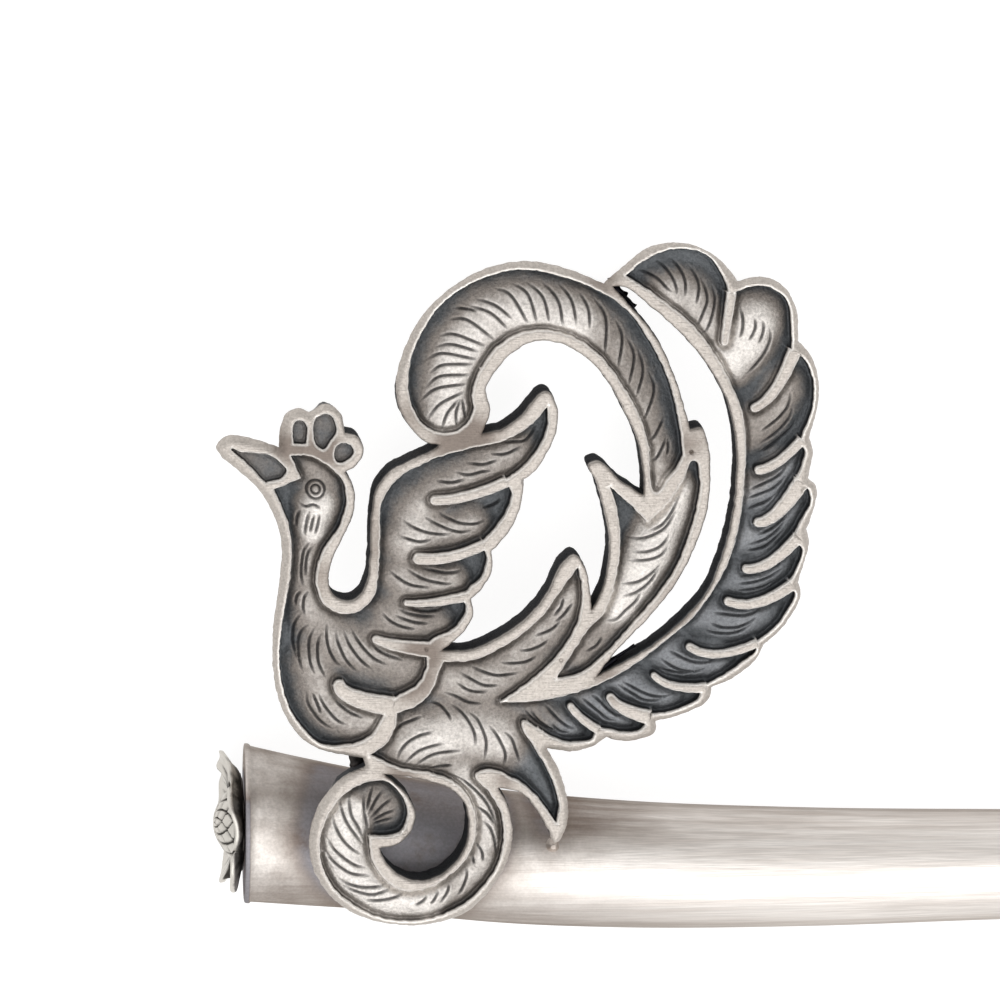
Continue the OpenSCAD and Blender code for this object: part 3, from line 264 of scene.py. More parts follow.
# Engraved feather lines. columns: right and up of each point in turn
LINES = [
    # crest that arches over the wing
    (11.85, 31.3, 13.0, 32.2, 15.0, 32.5),
    (12.2, 32.2, 13.2, 33.0, 15.2, 33.1),
    (12.4, 33.1, 13.4, 33.75, 15.4, 33.8),
    (12.2, 34.0, 13.4, 34.5, 15.7, 34.1),
    (12.85, 34.9, 14.0, 35.1, 15.8, 34.6),
    (13.05, 35.6, 14.2, 35.75, 16.2, 35.0),
    (13.7, 36.7, 15.0, 36.7, 16.8, 35.4),
    (14.2, 37.45, 15.0, 37.4, 15.6, 37.3),
    (15.0, 37.65, 16.5, 37.2, 17.7, 36.1),
    (15.5, 38.1, 16.8, 37.7, 18.0, 36.8),
    (16.8, 38.8, 17.9, 38.3, 19.0, 36.5),
    (17.9, 39.15, 19.0, 38.4, 19.6, 36.5),
    (18.9, 39.25, 20.0, 38.2, 20.4, 36.6),
    (20.0, 39.2, 21.0, 38.0, 21.3, 36.3),
    (21.1, 39.1, 21.9, 38.0, 22.2, 36.5),
    (22.4, 38.6, 23.0, 37.5, 23.1, 36.2),
    (23.4, 38.2, 24.2, 36.8, 24.1, 34.4),
    (24.9, 36.7, 25.3, 35.5, 25.0, 33.6),
    (25.6, 35.6, 26.1, 34.3, 25.7, 32.4),
    (26.4, 34.8, 26.7, 33.3, 26.2, 31.6),
    (27.1, 33.3, 27.45, 32.0, 26.7, 30.0),
    (28.15, 30.3, 27.9, 29.8, 27.5, 29.1, 27.15, 28.7),
    (28.3, 29.0, 28.0, 28.3, 27.6, 27.6, 27.2, 27.3),
    (28.35, 28.8, 28.4, 28.2, 28.3, 27.7),
    (12.3, 30.1, 13.2, 31.2, 14.8, 32.0),
    (13.25, 29.4, 13.6, 30.5, 14.4, 31.5),
    (14.3, 29.6, 14.2, 30.5, 14.5, 31.5),
    (14.9, 30.0, 14.6, 31.5),
    # wing
    (14.2, 26.6, 15.0, 26.4, 15.9, 26.6, 16.6, 26.7),
    (14.9, 27.2, 16.0, 27.1, 17.0, 27.4),
    (16.5, 27.8, 17.5, 27.8, 18.6, 28.3),
    (17.0, 28.5, 18.0, 28.6, 18.9, 28.7, 19.7, 29.6),
    (12.9, 26.0, 13.9, 25.9, 14.8, 26.1),
    (13.0, 24.0, 13.5, 23.6, 14.5, 23.2, 15.5, 23.15, 16.3, 23.4),
    (12.05, 23.7, 12.8, 23.2, 13.7, 22.8, 14.5, 22.6, 15.3, 22.7),
    (10.6, 23.5, 11.3, 23.0, 12.3, 22.6, 13.2, 22.45, 13.9, 22.5),
    (10.4, 22.4, 11.0, 22.2, 11.8, 22.0, 12.6, 22.1),
    (16.0, 24.1, 16.8, 24.3, 17.3, 24.7),
    (9.7, 20.1, 10.3, 19.6, 11.2, 19.1, 12.5, 18.9),
    (10.9, 20.2, 11.6, 19.7, 12.4, 19.35, 13.5, 19.15, 14.0, 19.2),
    (11.9, 20.2, 12.6, 20.0, 13.4, 19.85, 14.2, 19.9, 14.7, 20.1),
    (10.4, 18.0, 11.2, 17.5, 12.2, 17.25, 13.0, 17.35, 13.4, 17.5),
    (10.3, 17.5, 11.1, 17.15, 12.1, 16.95, 12.9, 17.0),
    (10.1, 17.1, 10.9, 16.75, 11.6, 16.55, 12.4, 16.5),
    (9.2, 17.3, 9.8, 16.7, 10.6, 16.3, 11.5, 16.1),
    # cheek, neck and breast
    (4.45, 24.1, 4.25, 23.3, 4.1, 22.4),
    (4.75, 23.9, 4.6, 23.2, 4.45, 22.6),
    (5.1, 23.9, 5.0, 23.2, 4.8, 22.5),
    (3.85, 24.1, 3.65, 23.5, 3.6, 22.9),
    (3.75, 24.55, 4.2, 24.35, 4.7, 24.5, 5.2, 24.25),
    (4.5, 22.0, 4.1, 21.4, 3.95, 20.6, 3.9, 19.8, 4.0, 19.0),
    (4.7, 21.7, 4.35, 21.2, 4.2, 20.4, 4.2, 19.7),
    (3.9, 18.7, 3.6, 18.3, 3.5, 17.7),
    (4.4, 18.7, 4.1, 18.3, 4.0, 17.6, 4.1, 17.1),
    (3.95, 17.3, 3.6, 16.8, 3.4, 16.2, 3.35, 15.4, 3.45, 14.7, 3.6, 14.1),
    (4.4, 16.5, 4.0, 16.1, 3.75, 15.5, 3.7, 14.8, 3.75, 14.1, 3.95, 13.3),
    (4.8, 16.3, 4.55, 15.8, 4.4, 15.2, 4.4, 14.5, 4.5, 13.8, 4.8, 13.1),
    (5.2, 15.9, 5.0, 15.3, 4.95, 14.6, 5.05, 13.8, 5.5, 12.9),
    (5.6, 16.6, 5.55, 16.0, 5.6, 15.3, 5.8, 14.6, 6.2, 13.9, 6.6, 13.6),
    (6.2, 16.1, 6.25, 15.5, 6.5, 14.8, 6.9, 14.0, 7.6, 13.2),
    (6.7, 16.1, 6.9, 15.5, 7.2, 14.9, 7.8, 14.1, 8.6, 13.4),
    (7.2, 16.2, 7.5, 15.6, 8.0, 14.9, 8.7, 14.2, 9.6, 13.75),
    (8.5, 15.3, 8.9, 14.8, 9.6, 14.4, 10.7, 14.05),
    (4.2, 12.0, 4.3, 11.2, 4.7, 10.5, 5.2, 9.9, 5.9, 9.4),
    (4.6, 11.9, 4.9, 11.2, 5.2, 10.4),
    (5.0, 11.9, 5.3, 11.2, 5.8, 10.5, 6.3, 10.0, 6.9, 9.7),
    (6.0, 11.5, 6.5, 11.0, 7.2, 10.5, 8.0, 10.2),
    # long feather between the wing and the tail
    (25.5, 22.2, 26.5, 22.2, 27.4, 22.5, 28.2, 23.0, 28.9, 24.1),
    (29.1, 25.1, 28.7, 24.2, 28.0, 23.2, 27.0, 22.7),
    (25.9, 21.3, 27.0, 21.4, 27.9, 21.8, 28.5, 22.5),
    (25.7, 20.7, 26.8, 20.8, 27.8, 21.1, 28.4, 21.7),
    (25.2, 19.2, 26.3, 19.3, 27.2, 19.8, 27.9, 20.5),
    (25.3, 18.4, 26.2, 18.6, 27.1, 19.2, 27.8, 20.2),
    (24.2, 16.7, 24.9, 16.8, 25.5, 17.4, 26.2, 18.0, 26.6, 18.6),
    (22.9, 14.6, 23.6, 15.0, 24.0, 15.6),
    # tail, from its top feather down
    (26.35, 39.9, 27.0, 39.75, 27.7, 39.4, 28.2, 38.9, 28.6, 38.6),
    (27.6, 40.6, 28.1, 40.2, 28.55, 39.65, 28.85, 39.0, 28.9, 38.4),
    (28.6, 40.7, 29.0, 40.25, 29.35, 39.7, 29.5, 39.1, 29.45, 38.3),
    (29.8, 40.25, 30.15, 39.7, 30.4, 39.0, 30.3, 38.2, 30.15, 37.8),
    (30.55, 39.5, 30.85, 38.75, 30.95, 38.0, 30.65, 37.2, 30.25, 36.3),
    (31.3, 39.0, 31.5, 38.2, 31.35, 37.3, 31.05, 36.4, 30.65, 35.75),
    (33.1, 37.6, 33.3, 37.0, 33.3, 36.2, 33.1, 35.6),
    (34.05, 37.0, 34.15, 36.4, 34.0, 35.9, 33.7, 35.4),
    (34.65, 36.8, 34.7, 36.2, 34.6, 35.7, 34.4, 35.2),
    (35.1, 36.3, 35.2, 35.6, 35.0, 34.9, 34.6, 34.2, 34.0, 33.5, 33.6, 33.1),
    (36.5, 32.0, 36.5, 31.5, 36.3, 30.9, 35.8, 30.3, 35.2, 29.8, 34.5, 29.3),
    (36.7, 31.0, 36.6, 30.4, 36.2, 29.8, 35.6, 29.2, 34.9, 28.7, 34.5, 28.4),
    (36.9, 30.0, 36.8, 29.6, 36.3, 29.1, 35.7, 28.6, 35.0, 28.1, 34.5, 27.8),
    (36.3, 27.1, 36.0, 26.6, 35.5, 26.2, 34.9, 25.9, 33.8, 25.4),
    (36.3, 26.4, 36.0, 26.0, 35.4, 25.5, 34.7, 25.2, 33.6, 24.8),
    (35.6, 25.1, 35.0, 24.6, 34.3, 24.3, 33.7, 24.0),
    (36.5, 24.3, 36.2, 23.6, 35.7, 23.1, 35.1, 22.7, 34.3, 22.4),
    (36.2, 23.5, 36.0, 23.0, 35.5, 22.5, 34.9, 22.1, 33.8, 21.7),
    (36.2, 22.7, 35.7, 22.2, 35.1, 21.7, 34.4, 21.4, 33.6, 21.3),
    (36.3, 20.9, 35.8, 20.4, 35.2, 20.1, 34.4, 19.8, 33.2, 19.6),
    (36.1, 20.1, 35.5, 19.7, 34.8, 19.4, 34.0, 19.2, 33.1, 19.1),
    (35.6, 19.3, 34.9, 18.9, 34.0, 18.7, 33.1, 18.6),
    (34.7, 17.5, 34.2, 17.2, 33.5, 17.0, 32.5, 17.05, 31.4, 17.2),
    (34.4, 16.9, 33.8, 16.5, 33.0, 16.2, 32.0, 16.2, 31.2, 16.5),
    (34.0, 16.4, 33.3, 15.95, 32.5, 15.75, 31.5, 15.8, 30.9, 16.0),
    (31.6, 14.05, 31.0, 13.85, 30.3, 13.85, 29.5, 14.1, 28.4, 14.7),
    (31.0, 13.45, 30.3, 13.2, 29.5, 13.25, 28.8, 13.5, 27.9, 14.1),
    (30.2, 13.2, 29.4, 13.1, 28.5, 13.2, 27.9, 13.4),
    (28.7, 11.7, 28.1, 11.55, 27.4, 11.6, 26.6, 11.9, 25.3, 12.6),
    (28.1, 11.4, 27.5, 11.25, 26.8, 11.3, 26.1, 11.7, 25.0, 12.4),
    (25.5, 10.2, 25.0, 10.3, 24.4, 10.7, 23.9, 11.2, 23.3, 11.7),
    (25.0, 9.9, 24.4, 10.0, 23.8, 10.5, 23.2, 11.0, 22.6, 11.5),
    (22.3, 9.4, 21.8, 9.5, 21.2, 9.9, 20.6, 10.5, 20.2, 11.0),
    (21.8, 9.1, 21.2, 9.2, 20.6, 9.7),
    (18.8, 10.7, 19.2, 10.2, 19.8, 9.7, 20.7, 9.2),
    (19.2, 10.7, 19.6, 10.1, 20.3, 9.5, 21.0, 9.2),
    # feather under the wing
    (13.4, 11.9, 14.2, 11.6, 15.0, 11.2, 16.0, 11.1),
    (14.2, 12.6, 14.9, 12.1, 15.5, 11.95, 16.3, 11.95),
    (14.4, 13.3, 15.2, 12.8, 16.1, 12.4, 17.1, 12.4),
    (15.1, 13.7, 16.0, 13.3, 17.0, 13.05, 18.4, 13.2),
    (17.2, 13.9, 18.0, 13.85, 18.9, 13.95, 19.6, 14.3),
    (18.4, 14.7, 19.1, 14.75, 19.8, 15.0, 20.4, 15.4),
    (19.4, 15.7, 20.1, 15.9, 20.7, 16.2, 21.2, 16.7),
    (20.8, 16.6, 21.4, 17.1, 22.0, 17.9),
    (20.7, 17.0, 21.2, 17.6, 21.4, 18.3),
    # rump
    (10.0, 8.6, 10.1, 9.2, 10.6, 9.7, 11.3, 10.0, 12.0, 10.3),
    (10.25, 7.3, 10.5, 8.0, 11.0, 8.6, 11.7, 9.0, 12.5, 9.25, 12.7, 9.4),
    (10.7, 7.0, 11.1, 7.5, 11.7, 8.0, 12.5, 8.3, 13.4, 8.5),
    (11.4, 6.9, 12.0, 7.4, 12.7, 7.75, 13.5, 7.9, 14.6, 8.0),
    (12.4, 6.7, 13.0, 6.85, 14.0, 7.0),
    (12.5, 11.2, 13.1, 11.0, 13.6, 10.5, 13.9, 10.0),
    (13.8, 11.1, 14.5, 10.6, 15.0, 10.0, 15.4, 9.2, 15.5, 8.3),
    (15.0, 10.6, 15.6, 10.1, 16.0, 9.3, 16.2, 8.5, 16.1, 7.3),
    (16.35, 9.75, 16.8, 9.2, 17.2, 8.5, 17.5, 7.7, 17.4, 6.8),
    (17.4, 9.3, 17.9, 8.8, 18.2, 8.0, 18.5, 7.1),
    # curl
    (13.6, 6.4, 14.5, 6.1, 15.4, 5.4, 16.2, 4.5, 16.7, 3.5, 16.9, 2.8),
    (15.4, 4.3, 16.2, 3.8, 16.8, 3.0),
    (16.0, 3.3, 16.5, 2.7, 16.8, 1.8, 16.9, 1.0),
    (15.5, 1.8, 15.9, 1.2, 16.0, 0.5),
    (15.3, 0.9, 15.4, 0.3),
    (14.8, 0.2, 14.9, -0.4, 14.6, -1.3, 14.3, -1.8),
    (13.7, -0.9, 13.6, -1.5, 13.1, -2.3),
    (13.0, -1.4, 12.7, -2.0, 12.4, -2.3),
    (12.2, -1.7, 11.9, -2.1, 11.4, -2.4),
    (6.5, 4.9, 6.5, 4.2, 6.8, 3.3, 7.3, 2.5, 8.0, 1.6),
    (7.05, 5.1, 7.05, 4.4, 7.2, 3.6, 7.6, 2.9, 8.0, 2.1),
    (8.05, 5.1, 8.0, 4.5, 8.1, 3.6, 8.35, 2.5),
    (5.9, 3.7, 6.1, 2.9, 6.6, 2.0, 7.3, 1.3, 7.9, 1.0),
    (5.5, 2.2, 5.9, 1.5, 6.5, 0.9, 7.4, 0.3, 8.2, 0.1),
    (5.3, 1.5, 5.8, 0.7, 6.5, 0.1, 7.3, -0.3, 8.5, -0.4),
    (6.2, -0.6, 7.0, -1.0, 8.0, -1.2, 9.0, -1.15, 9.5, -1.0),
    (6.5, -1.1, 7.5, -1.5, 8.5, -1.7, 9.3, -1.5, 9.8, -1.25),
    (8.0, -2.1, 9.0, -2.1, 10.0, -1.9, 10.7, -1.6),
    (10.0, 4.8, 9.2, 4.2, 8.5, 3.3),
    (10.2, 4.0, 9.4, 3.7, 8.6, 3.1),
    (9.35, 5.35, 8.8, 4.6, 8.35, 3.6),
    (8.65, 5.6, 8.4, 4.8, 8.2, 3.9),
    (10.05, 3.4, 9.3, 3.2, 8.7, 2.9),
]

# The eye: its middle, its engraved and raised rings (radius, half width, height), and the
# circles of mesh points round it
EYE = (4.85, 25.5)
EYE_RINGS = [(0.6, 0.11, -0.16), (0.43, 0.13, 0.1), (0.29, 0.09, -0.14), (0.0, 0.24, 0.1)]
EYE_CIRCLES = (0.06, 0.14, 0.2, 0.25, 0.29, 0.34, 0.39, 0.44, 0.49, 0.54, 0.6, 0.66, 0.71)

# Small flaws of the casting. columns: right, up, radius, height
FLAWS = [
    (10.65, 2.5, 0.34, 0.14), (10.65, 2.5, 0.15, -0.14), (29.9, 28.0, 0.17, -0.3),
    (37.45, 25.45, 0.24, -0.16), (18.75, 26.05, 0.24, -0.3), (24.3, 39.3, 0.3, -0.2),
    (12.2, 14.85, 0.16, -0.12), (34.95, 15.05, 0.2, -0.15), (21.2, 14.1, 0.16, -0.12)
]

# Middle line and diameter of the stem from its head end on.
# columns: place along the stem, height of the middle line, diameter
STEM = [
    (0.0, 3.62, 10.54), (3.5, 3.05, 10.02), (7.1, 2.50, 9.53), (12.0, 1.75, 9.25),
    (17.1, 1.10, 9.05), (25.1, 0.45, 8.66), (37.1, 0.05, 8.13), (50.5, 0.0, 7.55),
    (68.0, 0.0, 7.12), (72.0, 0.0, 7.1), (90.0, 0.0, 7.1), (189.6, 0.0, 7.1)
]

# Head rim of the stem, from its head end: place and what is added to the radius.
# Pointed tip: place along the stem and radius.
RIM = [(0.0, -0.02), (0.04, 0.08), (0.14, 0.12), (0.28, 0.12), (0.37, 0.09), (0.43, 0.01)]
TIP = [
    (190.0, 3.55), (190.3, 3.53), (190.7, 3.44), (191.6, 3.25), (192.7, 2.84), (193.6, 2.22),
    (194.4, 1.62), (195.1, 1.08), (195.6, 0.66), (195.82, 0.40), (195.9, 0.16)
]

# Brown stains on the rims, where parts of the bird meet. columns: right, up, radius, share
STAINS = [
    (14.8, 28.7, 1.9, 1.0), (11.0, 13.0, 1.6, 0.9), (12.2, 14.9, 1.4, 0.7), (3.2, 28.3, 1.2, 0.8),
    (5.6, 28.2, 1.2, 0.8), (24.0, 39.2, 1.4, 0.5), (29.6, 28.6, 1.3, 0.5), (10.6, 6.6, 1.3, 0.5),
    (17.4, 6.0, 1.0, 0.4), (9.2, 22.0, 2.2, 0.35), (5.2, 19.5, 1.5, 0.3), (11.0, 30.5, 1.4, 0.35),
    (24.4, 12.4, 1.2, 0.5), (28.9, 17.0, 2.0, 0.4)
]

# Burnt solder left in the ends of the gap along the tail.
# columns: right and up of both ends, radius, height above the casting's back
RESIDUE = [
    (24.75, 38.75, 25.5, 38.1, 0.36, 1.9), (25.4, 38.2, 26.2, 37.4, 0.24, 1.6),
    (23.6, 13.0, 25.0, 14.0, 0.22, 1.9), (24.9, 13.9, 26.3, 14.8, 0.12, 1.5)
]

# Solder that holds the casting, as mounds on the stem.
# columns: along the stem, up from it, radius, share of the way up to the casting
MOUNDS = [
    (17.3, 0.45, 1.75, 0.03), (20.1, 2.8, 0.55, 0.42), (5.2, 3.6, 1.3, 1.0),
    (10.0, -0.9, 0.85, 1.0)
]

# Both ends of the lump that leans from the stem to the casting, in the stem's frame
STRUT = [(6.8, 6.7, 2.0), (6.75, 9.3, PLATE_BACK + 0.2)]

# Middle of the picture, in the stem's frame, and its width
PICTURE_MIDDLE = (15.86, 27.55, 8.15)
PICTURE_WIDE = 66.667


def linear(code):
    """Linear colour of an sRGB hex value."""
    parts = [int(code[i:i + 2], 16) / 255 for i in (1, 3, 5)]
    return [c / 12.92 if c <= 0.04045 else ((c + 0.055) / 1.055) ** 2.4 for c in parts] + [1.0]


def blend(low, high, x):
    """Smooth step from 0 at low to 1 at high."""
    t = np.clip((np.asarray(x, float) - low) / (high - low), 0, 1)
    return t * t * (3 - 2 * t)


def hump(x, half):
    """1 at 0, and round down to 0 at the half width."""
    return np.clip(1 - (x / half) ** 2, 0, 1)


def clouds(points, size, height):
    """Smooth noise at flat points, in clouds of about a size."""
    return np.array([noise.noise(Vector((x / size, y / size, height))) for x, y in points])


def hermite(a, b, way_a, way_b, s):
    """Cubic from a to b that leaves and arrives in the given directions."""
    return (
        (2 * s**3 - 3 * s**2 + 1) * a
        + (s**3 - 2 * s**2 + s) * way_a
        + (3 * s**2 - 2 * s**3) * b
        + (s**3 - s**2) * way_b
    )


def unit(v):
    """Directions of a length of 1."""
    return v / np.maximum(np.linalg.norm(v, axis=-1, keepdims=True), 1e-9)


def left_of(v):
    """Directions turned a quarter round to the left."""
    return np.stack([-v[..., 1], v[..., 0]], -1)


def sideways(loop):
    """Direction to the left of a closed line at each of its points."""
    return left_of(unit(np.roll(loop, -1, 0) - np.roll(loop, 1, 0)))


def circle(middle, radius, count):
    """Points round a flat place."""
    turn = np.linspace(0, 2 * math.pi, count, endpoint=False)[:, None]
    return np.array(middle) + radius * np.concatenate([np.cos(turn), np.sin(turn)], 1)


def on_face(p):
    """Places on the casting's front, from places in the tables."""
    return np.stack([TURN_X + (p[:, 0] - TURN_X) * WIDE - p[:, 1] * LEAN, p[:, 1] * TALL], 1)


def closed_line(rows, step):
    """Points of a smooth closed outline through the rows of a table, about a step apart."""
    p = np.array([row[:2] for row in rows], float)
    sharp = [len(row) > 2 and row[2] == 1 for row in rows]
    on = np.roll(p, -1, 0) - p
    reach = np.linalg.norm(on, axis=1, keepdims=True)
    ahead = on / reach
    way = unit(np.roll(ahead, 1, 0) * reach + ahead * np.roll(reach, 1, 0))
    points = []
    for i in range(len(p)):
        j = (i + 1) % len(p)
        steps = max(1, round(reach[i, 0] / step))
        way_a = (ahead[i] if sharp[i] else way[i]) * reach[i]
        way_b = (ahead[i] if sharp[j] else way[j]) * reach[i]
        points.append(hermite(p[i], p[j], way_a, way_b, np.arange(steps)[:, None] / steps))
    return np.concatenate(points)


def open_line(row, step):
    """Points of a smooth open line through a few points, and the direction at each."""
    p = np.array(row, float).reshape(-1, 2)
    way = np.gradient(p, axis=0)
    points = []
    for i in range(len(p) - 1):
        steps = max(2, round(np.linalg.norm(p[i + 1] - p[i]) / step))
        s = np.arange(steps)[:, None] / steps
        points.append(hermite(p[i], p[i + 1], way[i], way[i + 1], s))
    points = np.concatenate(points + [p[-1:]])
    return points, unit(np.gradient(points, axis=0))


def barb_line(row):
    """Closed outline of a flat barb that runs into a cell: round at its tip, wide at its root."""
    tip, middle, root = np.array(row[:6], float).reshape(3, 2)
    tip_wide, root_wide = row[6:]
    hold = 2 * middle - (tip + root) / 2
    s = np.linspace(0, 1, max(14, round(np.linalg.norm(root - tip) / 0.13)))[:, None]
    line = (1 - s) ** 2 * tip + 2 * s * (1 - s) * hold + s**2 * root
    side = left_of(unit(np.gradient(line, axis=0)))
    half = (tip_wide + (root_wide - tip_wide) * s) / 2
    turn = np.linspace(0, math.pi, 8)[1:-1, None]
    back = -unit(line[1] - line[0])
    cap = tip + tip_wide / 2 * (np.cos(turn) * -side[0] + np.sin(turn) * back)
    return np.concatenate([line + side * half, (line - side * half)[::-1], cap])


def roughen(loop, size, seed):
    """Moves the points of a closed line in and out a little, as a cast edge wanders."""
    wander = clouds(loop, 0.5, seed) + 0.6 * clouds(loop, 0.17, seed)
    return loop + sideways(loop) * (size * wander)[:, None]


def inside(points, loops):
    """Tells for each point whether it is inside the closed lines, by counting crossings."""
    order = np.argsort(points[:, 1])
    x, y = points[order].T
    odd = np.zeros(len(points), bool)
    for loop in loops:
        ends = np.roll(loop, -1, 0)
        first = np.searchsorted(y, np.minimum(loop[:, 1], ends[:, 1]))
        last = np.searchsorted(y, np.maximum(loop[:, 1], ends[:, 1]))
        for k in np.nonzero(first < last)[0]:
            i, j = first[k], last[k]
            a, b = loop[k], ends[k]
            cross = a[0] + (y[i:j] - a[1]) * (b[0] - a[0]) / (b[1] - a[1])
            odd[i:j] ^= x[i:j] < cross
    found = np.empty_like(odd)
    found[order] = odd
    return found


def tree_of(points):
    """Search tree over flat points."""
    tree = kdtree.KDTree(len(points))
    for i, (x, y) in enumerate(points):
        tree.insert((x, y, 0), i)
    tree.balance()
    return tree


def nearest(tree, points):
    """Distance from each point to the nearest of the tree's points, and which one it is."""
    found = [tree.find((x, y, 0)) for x, y in points]
    return np.array([f[2] for f in found]), np.array([f[1] for f in found])


def finer(loop, parts):
    """The same closed line with each of its steps cut in parts."""
    ends = np.roll(loop, -1, 0)
    return np.concatenate([loop + (ends - loop) * k / parts for k in range(parts)])


def beside(loop, offsets):
    """Rows of points that follow a closed line on both its sides."""
    side = sideways(loop)
    return [(loop + side * o * sign, o) for o in offsets for sign in (1, -1)]


def hex_grid(low, high, pitch):
    """Points of a grid of equal triangles over a box."""
    rows = []
    for k, y in enumerate(np.arange(low[1], high[1], pitch * 0.866)):
        x = np.arange(low[0] + (k % 2) * pitch / 2, high[0], pitch)
        rows.append(np.stack([x, np.full(len(x), y)], 1))
    return np.concatenate(rows)


def triangulate(points, loops):
    """Triangles over the points that keep the closed lines as edges."""
    edges = []
    start = 0
    for loop in loops:
        n = len(loop)
        edges += [(start + i, start + (i + 1) % n) for i in range(n)]
        start += n
    flat = [Vector(p) for p in points]
    verts, _, faces, origin, _, _ = delaunay_2d_cdt(flat, edges, [], 0, 1e-6)
    return np.array([tuple(v) for v in verts]), np.array(faces), origin


class Plate:
    """The casting's outlines, and the height of its front at any point."""

    def __init__(self, thick, depth, step):
        self.thick = thick
        self.depth = depth
        holes = [OUTLINE, WING_GAP, TAIL_GAP, CURL_GAP]
        self.loops = [roughen(closed_line(rows, step), 0.05, k) for k, rows in enumerate(holes)]
        self.cells = [roughen(closed_line(rows, step), 0.06, 9 + k) for k, rows in enumerate(CELLS)]
        self.barbs = [roughen(barb_line(row), 0.03, 30) for row in BARBS]
        walls = [p[~self.in_barbs(p)] for p in (finer(loop, 4) for loop in self.cells)]
        walls += [p[inside(p, self.cells)] for p in (finer(loop, 8) for loop in self.barbs)]
        self.walls = tree_of(np.concatenate(walls))
        edges = [finer(loop, 4) for loop in self.loops]
        self.edges = tree_of(np.concatenate(edges))
        shut = [np.zeros(len(p)) for p in edges[1:]]
        self.open = np.concatenate([self.openness(edges[0])] + shut)
        lines = [open_line(row, 0.05)[0] for row in LINES]
        self.cuts = tree_of(np.concatenate(lines))
        self.taper = np.concatenate([
            np.clip(np.minimum(s / 0.3, (1 - s) / 0.22), 0, 1) ** 0.7
            for s in (np.linspace(0, 1, len(p)) for p in lines)
        ])
        self.ridges = [(row[:4], open_line(row[4:], 0.12)[0]) for row in RIDGES]

    def openness(self, line):
        """How freely a file reaches the outer edge: 1 where nothing stands opposite."""
        outward = sideways(line)
        blocked = np.zeros(len(line), bool)
        for far in np.arange(1.8, 8.0, 0.45):
            blocked |= inside(line + outward * far, self.loops[:1])
        reach = 30
        ring = np.concatenate([~blocked[-reach:], ~blocked, ~blocked[:reach]]).astype(float)
        free = np.convolve(ring, np.ones(2 * reach + 1) / (2 * reach + 1), "valid")
        return blend(0.35, 0.75, free)

    def in_barbs(self, points):
        """Tells for each point whether it is on a barb."""
        found = np.zeros(len(points), bool)
        for loop in self.barbs:
            near = (points > loop.min(0)).all(1) & (points < loop.max(0)).all(1)
            found[near] |= inside(points[near], [loop])
        return found

    def in_cells(self, points):
        """Tells for each point whether it is on the floor of a cell."""
        return inside(points, self.cells) & ~self.in_barbs(points)

    def relief(self, points):
        """Height of the raised forms, and how far they are rubbed bright."""
        total = np.zeros(len(points))
        rubbed = np.zeros(len(points))
        for (first, last, height, share), line in self.ridges:
            half = np.linspace(first, last, len(line))
            low, high = line.min(0) - half.max(), line.max(0) + half.max()
            near = np.nonzero((points > low).all(1) & (points < high).all(1))[0]
            away = np.linalg.norm(points[near, None] - line[None], axis=2) / half
            rise = np.clip(1 - np.min(away, axis=1)**2, 0, 1) ** 1.25
            total[near] = (total[near] ** 3 + (height * rise) ** 3) ** (1 / 3)
            rubbed[near] = (rubbed[near] ** 4 + (share * rise) ** 4) ** 0.25
        return total, rubbed

    def front(self, points, sunk, wall, edge, free):
        """Height of the front, and its finish: rim, proud, cut, and distance from the walls."""
        # the beak and the three lobes of the crest have plain floors, half as deep
        plain = np.zeros(len(points), bool)
        for loop in self.cells[:4]:
            plain |= inside(points, [loop])
        drop = blend(-0.04, 0.12, wall)
        swell, rubbed = self.relief(points)
        swell = np.where(plain, 0.0, swell * (0.55 + 0.45 * blend(0.08, 0.5, wall)))
        cut, which = nearest(self.cuts, points)
        width = LINE_HALF * (0.4 + 0.6 * self.taper[which])
        groove = hump(cut, width) * self.taper[which]
        burr = hump(cut - 1.55 * width, width) * self.taper[which]
        ring = np.hypot(points[:, 0] - EYE[0], points[:, 1] - EYE[1])
        eye = sum(height * hump(ring - radius, half) for radius, half, height in EYE_RINGS)
        eye_lines = sum(hump(ring - radius, half) for radius, half, height in EYE_RINGS if height < 0)

        # floor of the cells, with the raised forms, the lines and a groove along the walls
        grain = clouds(points, 0.9, 3.3)
        floor = self.thick - np.where(plain, 0.5, 1.0) * self.depth
        floor = floor + swell + grain * 0.03 * drop - 0.07 * hump(wall - 0.12, 0.08)
        floor += (-LINE_DEPTH * groove + BURR * burr) * blend(0.1, 0.4, wall) * ~plain + eye

        # rim, rounded at the walls, filed down at the outer edge, with small flaws and stains
        rim = self.thick - ROUND_OFF * np.clip(1 - wall / 0.14, 0, 1)
        rim += 0.03 * grain * blend(0.1, 0.4, wall)
        clean = np.ones(len(points))
        for x, y, radius, rise in FLAWS:
            rim += rise * np.clip(1 - ((points - (x, y)) ** 2).sum(1) / radius**2, 0, 1)
        for x, y, radius, share in STAINS:
            clean -= share * np.exp(-((points - (x, y)) ** 2).sum(1) / radius**2)
        rim -= (0.14 + 0.34 * free) * np.clip(1 - edge / (0.18 + 0.42 * free), 0, 1) ** 2

        top = self.thick - ROUND_OFF
        height = np.where(sunk, top - (top - floor) * drop, rim)
        engraved = np.clip(groove**0.6 * blend(0.1, 0.3, wall) * ~plain + eye_lines, 0, 1)
        finish_and_painted_light = np.stack([
            np.where(sunk, 1 - drop, 1.0),
            np.where(sunk, np.where(plain, 0.26, rubbed + 0.12 * burr), clean),
            np.where(sunk, engraved, 0.0),
            np.where(sunk, blend(0.03, 0.12, wall), blend(0.02, 0.15, wall))
        ], 1)
        return height, finish_and_painted_light


